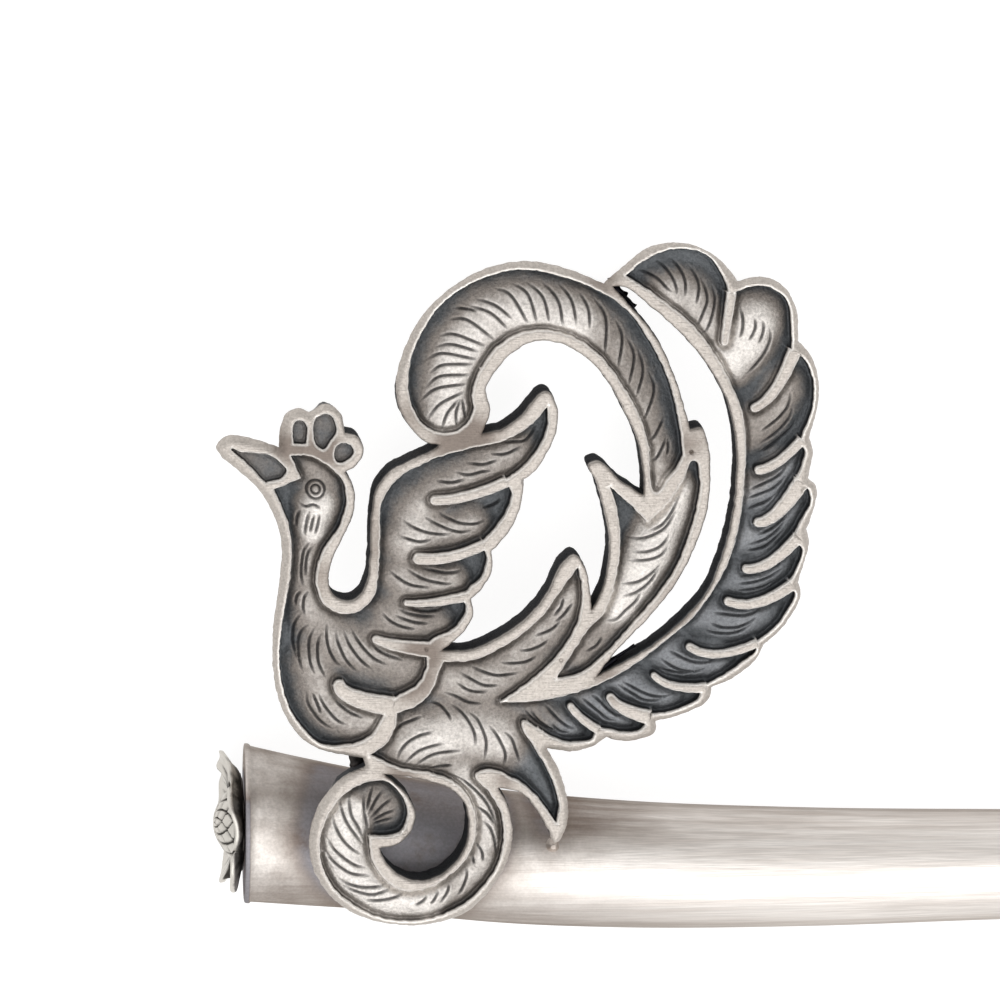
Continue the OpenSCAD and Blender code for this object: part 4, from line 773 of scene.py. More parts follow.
def casting_points(plate, step):
    """Points for the casting's front: its outlines, close rows beside all edges, and a grid."""
    rows = []
    for loop in plate.loops:
        rows += beside(loop, BESIDE_EDGE)
    for loop in plate.cells + plate.barbs:
        rows += beside(loop, BESIDE_WALL)
    # a row is left out where another edge is nearer than its own
    close = []
    for points, offset in rows:
        near = np.minimum(nearest(plate.walls, points)[0], nearest(plate.edges, points)[0])
        close.append(points[near > 0.8 * offset])
    for row in LINES:
        line, way = open_line(row, 0.13)
        close += [line + left_of(way) * offset for offset in BESIDE_LINE]
    close += [circle(EYE, radius, 12 + int(radius * 50)) for radius in EYE_CIRCLES]
    for x, y, radius, _ in FLAWS:
        close += [circle((x, y), radius * share, 14) for share in (0.3, 0.6, 0.85, 1.05)]
    # no point is within 0.035 mm of an outline, and each square of 0.045 mm holds one
    close = np.concatenate(close)
    close = close[inside(close, plate.loops)]
    ring = np.concatenate(plate.loops + plate.cells + plate.barbs)
    close = close[nearest(tree_of(ring), close)[0] > 0.035]
    _, first = np.unique(np.round(close / 0.045).astype(int), axis=0, return_index=True)
    close = close[np.sort(first)]
    # a fine grid in the cells, and a wide one under the flat rims
    low, high = plate.loops[0].min(0), plate.loops[0].max(0)
    fine = hex_grid(low, high, step)
    wide = hex_grid(low, high, 0.42)
    wide = wide[inside(wide, plate.loops) & ~plate.in_cells(wide)]
    grid = np.concatenate([fine[plate.in_cells(fine)], wide])
    grid = grid[nearest(tree_of(np.concatenate([ring, close])), grid)[0] > 0.09]
    return np.concatenate([ring, close, grid])


def border_of(faces):
    """For each point on the open border of some triangles, the next point along it."""
    pairs = np.concatenate([faces[:, [0, 1]], faces[:, [1, 2]], faces[:, [2, 0]]])
    _, where, count = np.unique(np.sort(pairs, 1), axis=0, return_inverse=True, return_counts=True)
    return {int(a): int(b) for a, b in pairs[count[where.reshape(-1)] == 1]}


def rounds_of(follow):
    """The border's closed rounds, each from its lowest point on."""
    rounds, left = [], set(follow)
    while left:
        chain = [min(left)]
        while follow[chain[-1]] != chain[0]:
            chain.append(follow[chain[-1]])
        left -= set(chain)
        rounds.append(chain)
    return rounds


def casting_mesh(thick, depth, step):
    """Vertices, faces and finish of the casting, in its own frame."""
    plate = Plate(thick, depth, step)
    loops = plate.loops + plate.cells + plate.barbs
    points, faces, _ = triangulate(casting_points(plate, step), loops)
    faces = faces[inside(points[faces].mean(1), plate.loops)]
    used, faces = np.unique(faces, return_inverse=True)
    faces = faces.reshape(-1, 3)
    points = points[used]
    wall = nearest(plate.walls, points)[0]
    edge, which = nearest(plate.edges, points)
    free = plate.open[which]
    sunk = plate.in_cells(points) & (wall > 0.01)
    height, finish_and_painted_light = plate.front(points, sunk, wall, edge, free)
    top = np.concatenate([points, height[:, None]], 1)

    # outer walls. columns: height, how far they stand out, how far they wander
    levels = (
        (thick - 0.7, 0.02, 0.02), (thick - 1.2, 0.03, 0.05), (thick - 1.8, 0.03, 0.05),
        (0.5, 0.02, 0.05), (0.1, 0.0, 0.02), (0.0, -0.04, 0.02)
    )
    follow = border_of(faces)
    before = {b: a for a, b in follow.items()}
    names = sorted(follow)
    place = {v: i for i, v in enumerate(names)}
    p = points[names]
    way = points[[follow[v] for v in names]] - points[[before[v] for v in names]]
    outward = -left_of(unit(way))
    freed = free[names]
    walls = []
    for z, stands_out, wander in levels:
        out = clouds(p, 0.7, z / 0.6 + 20) * wander + stands_out
        out -= freed * (thick - z) * 0.2
        walls.append(np.concatenate([p + outward * out[:, None], np.full((len(p), 1), z)], 1))
    start, n = len(top), len(names)
    base = start + (len(levels) - 1) * n
    sides = []
    for a in names:
        ia, ib = place[a], place[follow[a]]
        sides.append((follow[a], a, start + ia, start + ib))
        sides += [(s + ib, s + ia, s + n + ia, s + n + ib) for s in range(start, base, n)]

    # flat back
    foot = walls[-1][:, :2]
    rounds = rounds_of(follow)
    order = [place[v] for chain in rounds for v in chain]
    foot_loops = [foot[[place[v] for v in chain]] for chain in rounds]
    spots = hex_grid(plate.loops[0].min(0), plate.loops[0].max(0), 1.6)
    spots = spots[inside(spots, foot_loops)]
    spots = spots[nearest(tree_of(foot), spots)[0] > 0.5]
    flat, back, origin = triangulate(np.concatenate(foot_loops + [spots]), foot_loops)
    back = back[inside(flat[back].mean(1), foot_loops)]
    extra, index = [], []
    for spot, source in zip(flat, origin):
        if source and source[0] < len(order):
            index.append(base + order[source[0]])
        else:
            index.append(base + n + len(extra))
            extra.append((*spot, 0.0))
    under = [tuple(index[v] for v in face[::-1]) for face in back]

    # walls are dark, brighter where a file reaches them, and the back is worn
    verts = np.concatenate([top] + walls + [np.array(extra).reshape(-1, 3)])
    verts[:, :2] = on_face(verts[:, :2])
    shade = np.zeros((len(verts), 4))
    shade[:start] = finish_and_painted_light
    shade[start:base + n, 0] = np.tile(0.9 * freed, len(levels))
    shade[start:, 1] = 0.10
    shade[start:, 3] = 0.25
    shade[base:, 1] = 0.75
    return verts, [tuple(map(int, f)) for f in faces] + sides + under, shade


def through(rows, column, x):
    """Smooth curve through one column of a table that starts with places along the stem."""
    at = np.array([row[0] for row in rows], float)
    v = np.array([row[column] for row in rows], float)
    slope = np.gradient(v, at)
    i = np.clip(np.searchsorted(at, x) - 1, 0, len(at) - 2)
    far = at[i + 1] - at[i]
    return hermite(v[i], v[i + 1], far * slope[i], far * slope[i + 1], (x - at[i]) / far)


def lathe(rings, start, end):
    """Faces over rings of equal length, with a point that closes each end."""
    n = len(rings[0])
    faces = []
    for i in range(len(rings) - 1):
        for k in range(n):
            m = (k + 1) % n
            faces.append((i * n + k, i * n + m, (i + 1) * n + m, (i + 1) * n + k))
    last = (len(rings) - 1) * n
    first_point = len(rings) * n
    faces += [((k + 1) % n, k, first_point) for k in range(n)]
    faces += [(last + k, last + (k + 1) % n, first_point + 1) for k in range(n)]
    return np.concatenate([*rings, [start], [end]]), faces


def stem_mesh():
    """The stem from its end plate to its tip, in its own frame."""
    turn = np.linspace(0, 2 * math.pi, 112, endpoint=False)

    def ring(x, middle, r):
        return np.stack([np.full(len(turn), x), middle - r * np.sin(turn), r * np.cos(turn)], 1)

    def cut(x, middle, r):
        made = ring(x, middle, r)
        made[:, 0] -= made[:, 2] * HEAD_CUT * blend(3.0, 0.3, x - HEAD_END)
        return made

    wide = through(STEM, 2, HEAD_END) / 2
    middle = through(STEM, 1, HEAD_END)
    # end plate, a little hollow inside its lip. columns: how far in, radius
    plate = [
        (0.10, 0.5), (0.09, 1.6), (0.10, 2.8), (0.08, 3.8), (0.09, wide - 0.85),
        (0.10, wide - 0.62), (0.15, wide - 0.55), (0.10, wide - 0.48), (0.03, wide - 0.35),
        (0.0, wide - 0.2)
    ]
    rings = [cut(HEAD_END + x, middle, r) for x, r in plate]
    for x, grow in RIM:
        x += HEAD_END
        rings.append(cut(x, through(STEM, 1, x), through(STEM, 2, x) / 2 + grow))
    places = [np.arange(0.35, 32, 0.3), np.arange(32.2, 72, 0.8), np.arange(72.5, 189.9, 2.2)]
    for x in np.concatenate(places):
        rings.append(cut(x, through(STEM, 1, x), through(STEM, 2, x) / 2))
    rings += [ring(x, 0.0, r) for x, r in TIP]
    return lathe(rings, (HEAD_END + 0.10, middle, 0.0), (TIP[-1][0] + 0.02, 0.0, 0.0))


def stem_tarnish_and_shade(verts, plate):
    """Finish of the stem: soot with painted shadow round the casting, painted shadow of the rosette
    on the lip, scorch with painted shade along the top, dulled head end, and painted shade on the
    underside.
    """
    # places of the stem's points in the casting's tables
    over = verts[:, :2] - (TURN_X, 0)
    turned = over * math.cos(PLATE_TURN) - left_of(over) * -math.sin(PLATE_TURN)
    rise = (turned[:, 1] - PLATE_UP) / TALL
    p = np.stack([TURN_X + (turned[:, 0] + PLATE_IN + rise * LEAN) / WIDE, rise], 1)
    dark = np.zeros((len(verts), 4))
    near = np.nonzero((verts[:, 2] > -1.5) & (verts[:, 0] < 34))[0]
    away = nearest(plate.edges, p[near])[0]
    away[inside(p[near], plate.loops[:1])] = 0
    along = verts[:, 0]
    up = verts[:, 1] - through(STEM, 1, np.clip(along, 0, 189))
    # soot under the casting and close round it, partly painted shadow of the casting, and painted
    # shadow of the rosette on the lip of the head end
    dark[near, 0] = np.exp(-away / 1.4) * blend(-1.5, 1.5, verts[near, 2])
    # painted shadow of the rosette on the lip, in the middle of its height
    inward = along + verts[:, 2] * HEAD_CUT - HEAD_END
    lip_shadow = 0.97 * blend(0.36, 0.28, inward) * blend(6.9, 6.2, verts[:, 1])
    dark[:, 0] = np.maximum(dark[:, 0], lip_shadow)
    # brown scorch along the top, strongest past the claw, and painted shade along the whole top edge
    crown = blend(34, 20, along) * blend(17, 21, along) * blend(1.0, 3.4, up)
    dark[:, 1] = np.maximum(crown, 0.35 * blend(2.2, 3.4, up))
    # dull grey at the head end and in a wide halo round the casting
    dark[:, 2] = blend(7.0, 0.5, along)
    halo = 0.9 * np.exp(-away / 4.5) * blend(34, 18, along[near])
    dark[near, 2] = np.maximum(dark[near, 2], halo)
    # painted shade: the lower side is darker under the casting's lower edge
    dark[:, 3] = 0.6 * blend(-1.0, -3.2, up) * blend(40, 17, along)
    return dark


def rosette_mesh(petals, dome_r):
    """The rosette in its own frame: its flower faces along Z, its peg points back."""
    # distance of the petals' middles, radius of a petal and of its cup, height of the dome
    ring, reach, ball, dome_h = 2.5, 2.3, 3.0, 1.15
    dome_foot, peg_r = 0.65, 3.35
    turns = petals * 44
    wide = 2 * math.pi / petals
    a = np.arange(turns) * 2 * math.pi / turns
    bend = (a + wide / 2) % wide - wide / 2
    at = a + math.radians(18)
    edge = ring * np.cos(bend) + np.sqrt(reach**2 - (ring * np.sin(bend))**2)
    which = np.floor((a + wide / 2) / wide) % petals
    edge *= 1 + 0.018 * np.sin(11 * bend + which) + 0.03 * np.sin(which * 2.3)
    tilt = 0.24 * np.sin(bend / wide * math.pi * 0.98)

    def cup(r):
        away2 = (r * np.cos(bend) - ring)**2 + (r * np.sin(bend))**2
        lift = away2 / (2 * ball) * (0.8 + 0.2 * np.sin(at - bend) - 0.2 * np.cos(at - bend))
        outer = blend(dome_r, 4.6, r)
        return lift + outer * (tilt + 0.10 * np.sin(7 * bend + 2 * which))

    def place(r, z):
        return np.stack([r * np.cos(at), r * np.sin(at), z + 0 * r], 1)

    # seed dome, cut with a diamond hatch
    rings, shades = [], []
    for share in np.linspace(0.03, 1, 34):
        hatch = [np.abs(np.sin(5 * a + 8 * share)), np.abs(np.sin(5 * a - 8 * share))]
        groove = blend(0.90, 0.99, np.maximum(*hatch)) if share > 0.16 else 0 * a
        z = dome_foot + dome_h * (1 - share**2) - 0.22 * groove * blend(0.1, 0.3, share)
        rings.append(place(dome_r * share + 0 * a, z))
        shades.append(0.95 - groove * 0.75)
    # fronts of the petals, veined, with a crease between them and a round edge
    petal_rings = (
        0.02, 0.05, 0.09, 0.14, 0.2, 0.27, 0.34, 0.42, 0.5,
        0.58, 0.66, 0.74, 0.81, 0.87, 0.92, 0.96, 0.985, 1
    )
    for share in petal_rings:
        r = dome_r + 0.05 + (edge - dome_r - 0.05) * share
        vein = blend(0.72, 1.0, np.abs(np.cos(15 * bend)))
        vein = vein * blend(0.04, 0.3, share) * blend(0.99, 0.7, share)
        crease = np.exp(-((wide / 2 - np.abs(bend)) / 0.06)**2)
        round_off = 0.16 * np.clip((share - 0.93) / 0.07, 0, 1)**2
        z = cup(r) + 0.38 - 0.07 * vein - 0.12 * crease - round_off
        z = z - 0.25 * (1 - blend(0.0, 0.09, share)) * 0.6
        rings.append(place(r, z))
        shades.append(np.clip(0.35 + 0.8 * share, 0, 1) * (1 - 0.42 * vein) * (1 - 0.8 * crease))
    # backs of the petals, down to the peg, with painted shade darker towards the peg
    for share in (1.0, 0.97, 0.85, 0.65, 0.45, 0.25, 0.1, 0.0):
        r = peg_r + (edge - peg_r) * share
        lower = 0.1 * (share == 1.0)
        rings.append(place(r, cup(r) * blend(0, 0.5, share) + lower))
        streak = 0.62 + 0.3 * blend(0.2, 0.9, np.abs(np.cos(11 * bend + 0.6)))
        shades.append(streak * blend(0.0, 0.7, share))
    # a black fill, painted shade, closes the space behind the petals
    for r, z in ((3.36, -0.03), (3.32, -0.10), (3.2, -0.12), (1.6, -0.12)):
        rings.append(place(r + 0.06 * np.sin(9 * a) * (r > 3), z + 0 * a))
        shades.append(0 * a)
    verts, faces = lathe(rings, (0, 0, dome_foot + dome_h), (0, 0, -0.12))
    shade = np.concatenate(shades + [[1.0], [0.2]])
    shade = np.stack([shade, shade, 0 * shade, 0 * shade + 1], 1)
    return verts, [face[::-1] for face in faces], shade


def mound_mesh(along, up, radius, share):
    """A mound of solder that lies on the stem and rises towards the casting's back."""
    turns, steps = 40, 16
    a = np.linspace(0, 2 * math.pi, turns, endpoint=False)
    reach = radius * (1 + 0.16 * clouds(1.4 * np.stack([np.cos(a), np.sin(a)], 1), 1.0, along))
    rings = []
    for k in range(steps):
        s = 1 - k / steps
        x = along + reach * s * np.cos(a)
        y = up + reach * s * np.sin(a)
        r = through(STEM, 2, x) / 2
        under = np.sqrt(np.maximum(r**2 - (y - through(STEM, 1, x))**2, 0.2))
        rise = blend(1.0, 0.25, s) * share
        ripple = clouds(1.1 * np.stack([x, y], 1), 1.0, 7.0)
        z = under - 0.06 + (PLATE_BACK + 0.12 - under) * rise + 0.08 * ripple * (1 - s)
        rings.append(np.stack([x, y, z], 1))
    return lathe(rings, rings[0].mean(0), rings[-1].mean(0))


def strut_mesh(start, end, radius, seed):
    """A rough lump that leans from one point to another."""
    start, end = np.array(start), np.array(end)
    axis = unit(end - start)
    side = unit(np.cross(axis, (0.3, 1.0, 0.2)))
    other = np.cross(axis, side)
    rings = []
    for s in np.linspace(0, 1, 12):
        middle = start + (end - start) * s
        ring = []
        for t in np.linspace(0, 2 * math.pi, 20, endpoint=False):
            way = side * math.cos(t) + other * math.sin(t)
            lump = noise.noise(Vector((middle + way * radius) / 0.45) + Vector((seed, 0, 0)))
            waist = 1.1 - 0.35 * math.sin(math.pi * s)
            ring.append(middle + way * radius * (waist + 0.35 * lump))
        rings.append(np.array(ring))
    return lathe(rings, rings[0].mean(0), rings[-1].mean(0))


def merge(parts):
    """One mesh from several."""
    verts, faces, start = [], [], 0
    for v, f in parts:
        verts.append(v)
        faces += [tuple(i + start for i in face) for face in f]
        start += len(v)
    return np.concatenate(verts), faces


def piece(name, verts, faces, matrix, material, shade=None):
    """A smooth-shaded mesh in the pin's frame, from millimetres in a frame of its own."""
    mesh = bpy.data.meshes.new(name)
    mesh.from_pydata([tuple(v) for v in np.asarray(verts) * MM], [], faces)
    mesh.polygons.foreach_set("use_smooth", [True] * len(mesh.polygons))
    if shade is not None:
        layer = mesh.color_attributes.new("finish_and_painted_light", "FLOAT_COLOR", "POINT")
        layer.data.foreach_set("color", np.asarray(shade, np.float32).ravel())
    mesh.validate()
    mesh.update()
    mesh.materials.append(material)
    made = bpy.data.objects.new(name, mesh)
    made.matrix_world = matrix
    bpy.context.scene.collection.objects.link(made)
    return made


def stem_frame():
    """The stem's own frame: X along it from its head, Z the way that the casting faces."""
    mount = next(m for m in frame["record"]["mounts"] if m["name"] == "shank")
    axis = Vector(mount["axis"]).normalized()
    areas = {}
    for face in frame["nodes"]["phoenix"].data.polygons:
        if face.normal.z > 0.7:
            key = tuple(round(c, 3) for c in face.normal)
            areas[key] = areas.get(key, 0) + face.area
    out = Vector(max(areas, key=areas.get))
    up = out.cross(axis).normalized()
    turn = Matrix((axis, up, axis.cross(up))).transposed().to_4x4()
    start = Vector(mount["pos_m"]) - axis * SHANK_MIDDLE * MM
    return Matrix.Translation(start) @ turn


def plate_frame():
    """The casting's own frame, turned and shifted in front of the stem."""
    out = Matrix.Translation(Vector((TURN_X, 0, PLATE_BACK)) * MM)
    turn = Matrix.Rotation(-PLATE_TURN, 4, "Z")
    back = Matrix.Translation(Vector((-TURN_X - PLATE_IN, PLATE_UP, 0)) * MM)
    return stem_frame() @ out @ turn @ back


def add(tree, kind, *inputs, named=(), **settings):
    """Adds a node, sets it, and fills its inputs, in turn and by name.

    Each gets a value, a hex colour, a link from a node's output, or from a node's first output.
    """
    made = tree.nodes.new("ShaderNode" + kind)
    for name, value in settings.items():
        setattr(made, name, value)
    filled = list(zip([socket for socket in made.inputs if socket.enabled], inputs))
    filled += [(made.inputs[name], value) for name, value in dict(named).items()]
    for socket, value in filled:
        if isinstance(value, bpy.types.Node):
            value = next(output for output in value.outputs if output.enabled)
        if isinstance(value, bpy.types.NodeSocket):
            tree.links.new(value, socket)
        else:
            socket.default_value = linear(value) if isinstance(value, str) else value
    return made


# Settings that many nodes share
COLOURS = {"data_type": "RGBA"}
SMOOTH = {"interpolation_type": "SMOOTHSTEP"}
TIMES = {"operation": "MULTIPLY"}
TIMES_PLUS = {"operation": "MULTIPLY_ADD"}
PLUS = {"operation": "ADD"}


def new_material(name):
    """An empty material, its node tree, and the place on the piece that its patterns follow."""
    material = bpy.data.materials.new(name)
    material.use_nodes = True
    tree = material.node_tree
    tree.nodes.clear()
    return material, tree, add(tree, "TexCoord").outputs["Object"]


def per_mm(size):
    """Scale of a pattern that repeats about once in so many millimetres."""
    return 1000 / size


def cast_silver(look):
    """Cast silver, blackened and then rubbed and filed back where it stands proud."""
    material, tree, where = new_material("silver_cast_oxidised")
    finish_and_painted_light = add(tree, "Attribute", attribute_name="finish_and_painted_light")
    rim, proud, cut = add(tree, "SeparateColor", finish_and_painted_light).outputs
    off_wall = finish_and_painted_light.outputs["Alpha"]
    # sand grain of the mould, about 0.2 mm and finer, and cloudy tarnish a few millimetres wide
    sand = add(tree, "TexNoise", where, per_mm(0.2), 5, 0.7)
    fine = add(tree, "TexNoise", where, per_mm(0.17), 4, 0.7)
    blot = add(tree, "TexNoise", where, per_mm(0.7), 4, 0.65)
    cloud = add(tree, "TexNoise", where, per_mm(2.6), 3, 0.6)
    worn = add(tree, "Math", proud, add(tree, "Math", cloud, 0.5, -0.25, **TIMES_PLUS), **PLUS)
    worn = add(tree, "Math", worn, add(tree, "Math", blot, 0.35, -0.175, **TIMES_PLUS), **PLUS)
    # the tail was rubbed less, so its tarnish stays steel grey where the body's is brown
    right, up, _ = add(tree, "SeparateXYZ", where).outputs
    tailward = add(tree, "Math", up, -0.8, right, **TIMES_PLUS)
    tailward = add(tree, "Math", cloud, 0.003, tailward, **TIMES_PLUS)
    tailward = add(tree, "MapRange", tailward, 0.0125, 0.0155, **SMOOTH)
    behind = add(tree, "MapRange", right, 0.017, 0.019, **SMOOTH)
    steel = add(tree, "Math", tailward, behind, **TIMES)
    tarnish = add(tree, "Mix", steel, look.tarnish_warm, look.tarnish_steel, **COLOURS)
    # colour from the recesses to the rubbed crests
    rubbed = add(tree, "MapRange", worn, 0.05, 0.5, **SMOOTH)
    tarnish = add(tree, "Mix", rubbed, look.tarnish_cold, tarnish, **COLOURS)
    tarnish = add(tree, "Mix", off_wall, look.patina, tarnish, **COLOURS)
    bare = add(tree, "MapRange", worn, 0.42, 1.05, **SMOOTH)
    colour = add(tree, "Mix", bare, tarnish, look.bare, **COLOURS)
    # colour of the filed rims, with brown stains, and a bright edge beside the cells: partly rubbed,
    # partly a painted highlight
    dull = add(tree, "MapRange", fine, 0.3, 0.75, **SMOOTH)
    filed = add(tree, "Mix", dull, look.filed, look.filed_dull, **COLOURS)
    stain = add(tree, "Math", cloud, 0.9, 0.62, **TIMES_PLUS)
    stain = add(tree, "Math", stain, proud, operation="SUBTRACT")
    stain = add(tree, "MapRange", stain, 0.05, 0.75, 0.0, 0.9, **SMOOTH)
    filed = add(tree, "Mix", stain, filed, look.filed_brown, **COLOURS)
    # painted highlight on the edge beside the cells, partly real rubbing
    filed = add(tree, "Mix", off_wall, look.edge, filed, **COLOURS)
    on_rim = add(tree, "MapRange", rim, 0.55, 0.95, **SMOOTH)
    colour = add(tree, "Mix", on_rim, colour, filed, **COLOURS)
    engraved = add(tree, "Math", cut, 0.85, **TIMES)
    colour = add(tree, "Mix", engraved, colour, look.patina, **COLOURS)
    # the sand grain also holds the dark and shows the bright, less so on the rims
    speck = add(tree, "MapRange", sand, 0.25, 0.75, 0.70, 1.18, **SMOOTH)
    calm = add(tree, "Math", speck, -0.6, 0.58, **TIMES_PLUS)
    speck = add(tree, "Math", rim, calm, speck, **TIMES_PLUS)
    colour = add(tree, "VectorMath", colour, speck, operation="SCALE")
    rough = add(tree, "Math", bare, -0.20, 0.58, **TIMES_PLUS)
    rough = add(tree, "Math", blot, 0.12, rough, **TIMES_PLUS)
    # file strokes on the rims, drawn at 0.1 mm where the real ones are finer
    scale = (per_mm(1.4), per_mm(0.10), per_mm(0.6))
    stroke = add(tree, "Mapping", where, (0, 0, 0), (0, 0, 0.9), scale)
    height = add(tree, "Math", rim, 0.5, **TIMES)
    height = add(tree, "Math", add(tree, "TexNoise", stroke, 1, 2), height, **TIMES)
    sandy = add(tree, "Math", rim, -0.35, 0.7, **TIMES_PLUS)
    height = add(tree, "Math", sand, sandy, height, **TIMES_PLUS)
    height = add(tree, "Math", blot, 0.9, height, **TIMES_PLUS)
    bump = add(tree, "Bump", named={"Strength": 0.9, "Distance": 0.00011, "Height": height})
    # the sulphide on the walls stays dark at a grazing view, where bare silver would shine
    shine = add(tree, "Math", off_wall, rim, operation="MAXIMUM")
    sheen = add(tree, "Mix", shine, "#4a4340", "#ffffff", **COLOURS)
    shader = add(tree, "BsdfPrincipled", named={
        "Base Color": colour, "Metallic": 0.9, "Roughness": rough,
        "Specular Tint": sheen, "Normal": bump
    })
    add(tree, "OutputMaterial", shader)
    return material


def brushed_silver(look):
    """Drawn silver tube, brushed along its length and dulled where it was heated."""
    material, tree, where = new_material("silver_brushed")
    finish_and_painted_light = add(tree, "Attribute", attribute_name="finish_and_painted_light")
    soot_and_shadow, scorch_and_shade, end = add(tree, "SeparateColor", finish_and_painted_light).outputs
    # brush lines run along the stem, drawn at 0.09 mm where the real ones are finer
    scale = (per_mm(7), per_mm(0.09), per_mm(0.09))
    stroke = add(tree, "Mapping", where, named={"Scale": scale})
    lines = add(tree, "TexNoise", stroke, 1, 3, 0.6)
    scale = (per_mm(16), per_mm(0.5), per_mm(0.5))
    stroke = add(tree, "Mapping", where, named={"Scale": scale})
    streak = add(tree, "TexNoise", stroke, 1, 3)
    cloud = add(tree, "TexNoise", where, per_mm(3), 4, 0.6)
    drawn = add(tree, "Math", 1.0, end, operation="SUBTRACT")
    dull = add(tree, "MapRange", streak, 0.3, 0.7, **SMOOTH)
    dull = add(tree, "Math", drawn, dull, **TIMES)
    colour = add(tree, "Mix", dull, look.silver, look.silver_dull, **COLOURS)
    heated = add(tree, "MapRange", cloud, 0.3, 0.7, 0.1, 0.75, **SMOOTH)
    heated = add(tree, "Math", end, heated, **TIMES)
    colour = add(tree, "Mix", heated, colour, look.end_dull, **COLOURS)
    # painted shade on the lower side under the casting
    under = add(tree, "MapRange", streak, 0.2, 0.75, 0.5, 1.0, **SMOOTH)
    under = add(tree, "Math", finish_and_painted_light.outputs["Alpha"], under, **TIMES)
    colour = add(tree, "Mix", under, colour, look.underside_shade, **COLOURS)
    # soot round the casting, partly painted shadow of the casting and of the rosette on the lip: a
    # brown haze, and inside it a grey patina with rusty patches
    haze = add(tree, "Math", soot_and_shadow, 0.12, operation="SUBTRACT")
    haze = add(tree, "Math", cloud, 0.24, haze, **TIMES_PLUS)
    brown = add(tree, "MapRange", haze, -0.05, 0.85, 0.0, 0.9, **SMOOTH)
    colour = add(tree, "Mix", brown, colour, look.scorch_and_shade, **COLOURS)
    rusty = add(tree, "MapRange", cloud, 0.5, 0.72, 0.0, 0.75, **SMOOTH)
    burnt = add(tree, "Mix", rusty, look.soot_and_shadow, look.burnt, **COLOURS)
    grey = add(tree, "MapRange", haze, 0.40, 1.0, 0.0, 0.97, **SMOOTH)
    colour = add(tree, "Mix", grey, colour, burnt, **COLOURS)
    # brown scorch along the top, with painted shade along the whole top edge
    stain = add(tree, "MapRange", streak, 0.2, 0.8, 0.45, 1.0, **SMOOTH)
    stain = add(tree, "Math", scorch_and_shade, stain, **TIMES)
    colour = add(tree, "Mix", stain, colour, look.scorch_and_shade, **COLOURS)
    # sandy grain where it was heated, brush lines elsewhere
    sandy = add(tree, "TexNoise", where, per_mm(0.2), 4, 0.65)
    drawn = add(tree, "Math", lines, drawn, **TIMES)
    speck = add(tree, "Math", sandy, end, drawn, **TIMES_PLUS)
    speck = add(tree, "MapRange", speck, 0.3, 0.7, 0.88, 1.08, **SMOOTH)
    colour = add(tree, "VectorMath", colour, speck, operation="SCALE")
    rough = add(tree, "Math", soot_and_shadow, 0.14, 0.38, **TIMES_PLUS)
    rough = add(tree, "Math", streak, 0.14, rough, **TIMES_PLUS)
    rough = add(tree, "Math", end, 0.07, rough, **TIMES_PLUS)
    height = add(tree, "Math", cloud, 0.4, **TIMES)
    height = add(tree, "Math", lines, 0.8, height, **TIMES_PLUS)
    bump = add(tree, "Bump", named={"Strength": 0.5, "Distance": 0.00004, "Height": height})
    # the haze of tarnish keeps it from brightening at a grazing view
    shader = add(tree, "BsdfPrincipled", named={
        "Base Color": colour, "Metallic": 1.0, "Roughness": rough,
        "Specular Tint": "#857d76", "Normal": bump
    })
    add(tree, "OutputMaterial", shader)
    return material


def pressed_silver(look):
    """Thin silver petals, chased and then blackened, bright on their raised parts."""
    material, tree, where = new_material("silver_chased_oxidised")
    finish_and_painted_light = add(tree, "Attribute", attribute_name="finish_and_painted_light")
    proud = add(tree, "SeparateColor", finish_and_painted_light)
    # tarnish in spots of half a millimetre, over the fine grain that the chasing tool leaves
    blot = add(tree, "TexNoise", where, per_mm(0.5), 4, 0.65)
    fine = add(tree, "TexNoise", where, per_mm(0.1), 3, 0.55)
    worn = add(tree, "Math", proud, add(tree, "Math", blot, 0.6, -0.3, **TIMES_PLUS), **PLUS)
    worn = add(tree, "MapRange", worn, 0.25, 0.85, **SMOOTH)
    colour = add(tree, "Mix", worn, look.patina, look.bare, **COLOURS)
    rough = add(tree, "Math", blot, 0.2, 0.34, **TIMES_PLUS)
    height = add(tree, "Math", fine, 0.6, blot, **TIMES_PLUS)
    bump = add(tree, "Bump", named={"Strength": 0.4, "Distance": 0.00006, "Height": height})
    shader = add(tree, "BsdfPrincipled", named={
        "Base Color": colour, "Metallic": 0.95, "Roughness": rough, "Normal": bump
    })
    add(tree, "OutputMaterial", shader)
    return material


def solder_silver(name, pale, dark):
    """Hard silver solder, frozen from liquid: smooth, wavy and a little pitted."""
    material, tree, where = new_material(name)
    cloud = add(tree, "TexNoise", where, per_mm(1.1), 4, 0.6)
    pits = add(tree, "TexNoise", where, per_mm(0.16), 3, 0.55)
    tint = add(tree, "MapRange", cloud, 0.35, 0.65, **SMOOTH)
    colour = add(tree, "Mix", tint, pale, dark, **COLOURS)
    height = add(tree, "Math", pits, 0.4, cloud, **TIMES_PLUS)
    bump = add(tree, "Bump", named={"Strength": 0.4, "Distance": 0.0001, "Height": height})
    rough = add(tree, "Math", pits, 0.2, 0.42, **TIMES_PLUS)
    shader = add(tree, "BsdfPrincipled", named={
        "Base Color": colour, "Metallic": 1.0, "Roughness": rough, "Normal": bump
    })
    add(tree, "OutputMaterial", shader)
    return material


def studio_sheet():
    """White opal sheet, lit from below: matt, with a faint tooth."""
    material, tree, where = new_material("opal_sheet_white")
    tooth = add(tree, "TexNoise", where, per_mm(0.8), 3, 0.55)
    colour = add(tree, "Mix", tooth, "#807f7e", "#848382", **COLOURS)
    bump = add(tree, "Bump", named={"Strength": 0.05, "Distance": 0.0001, "Height": tooth})
    shader = add(tree, "BsdfPrincipled", named={
        "Base Color": colour, "Roughness": 0.95, "Emission Color": "#ffffff",
        "Emission Strength": 0.87, "Normal": bump
    })
    add(tree, "OutputMaterial", shader)
    return material


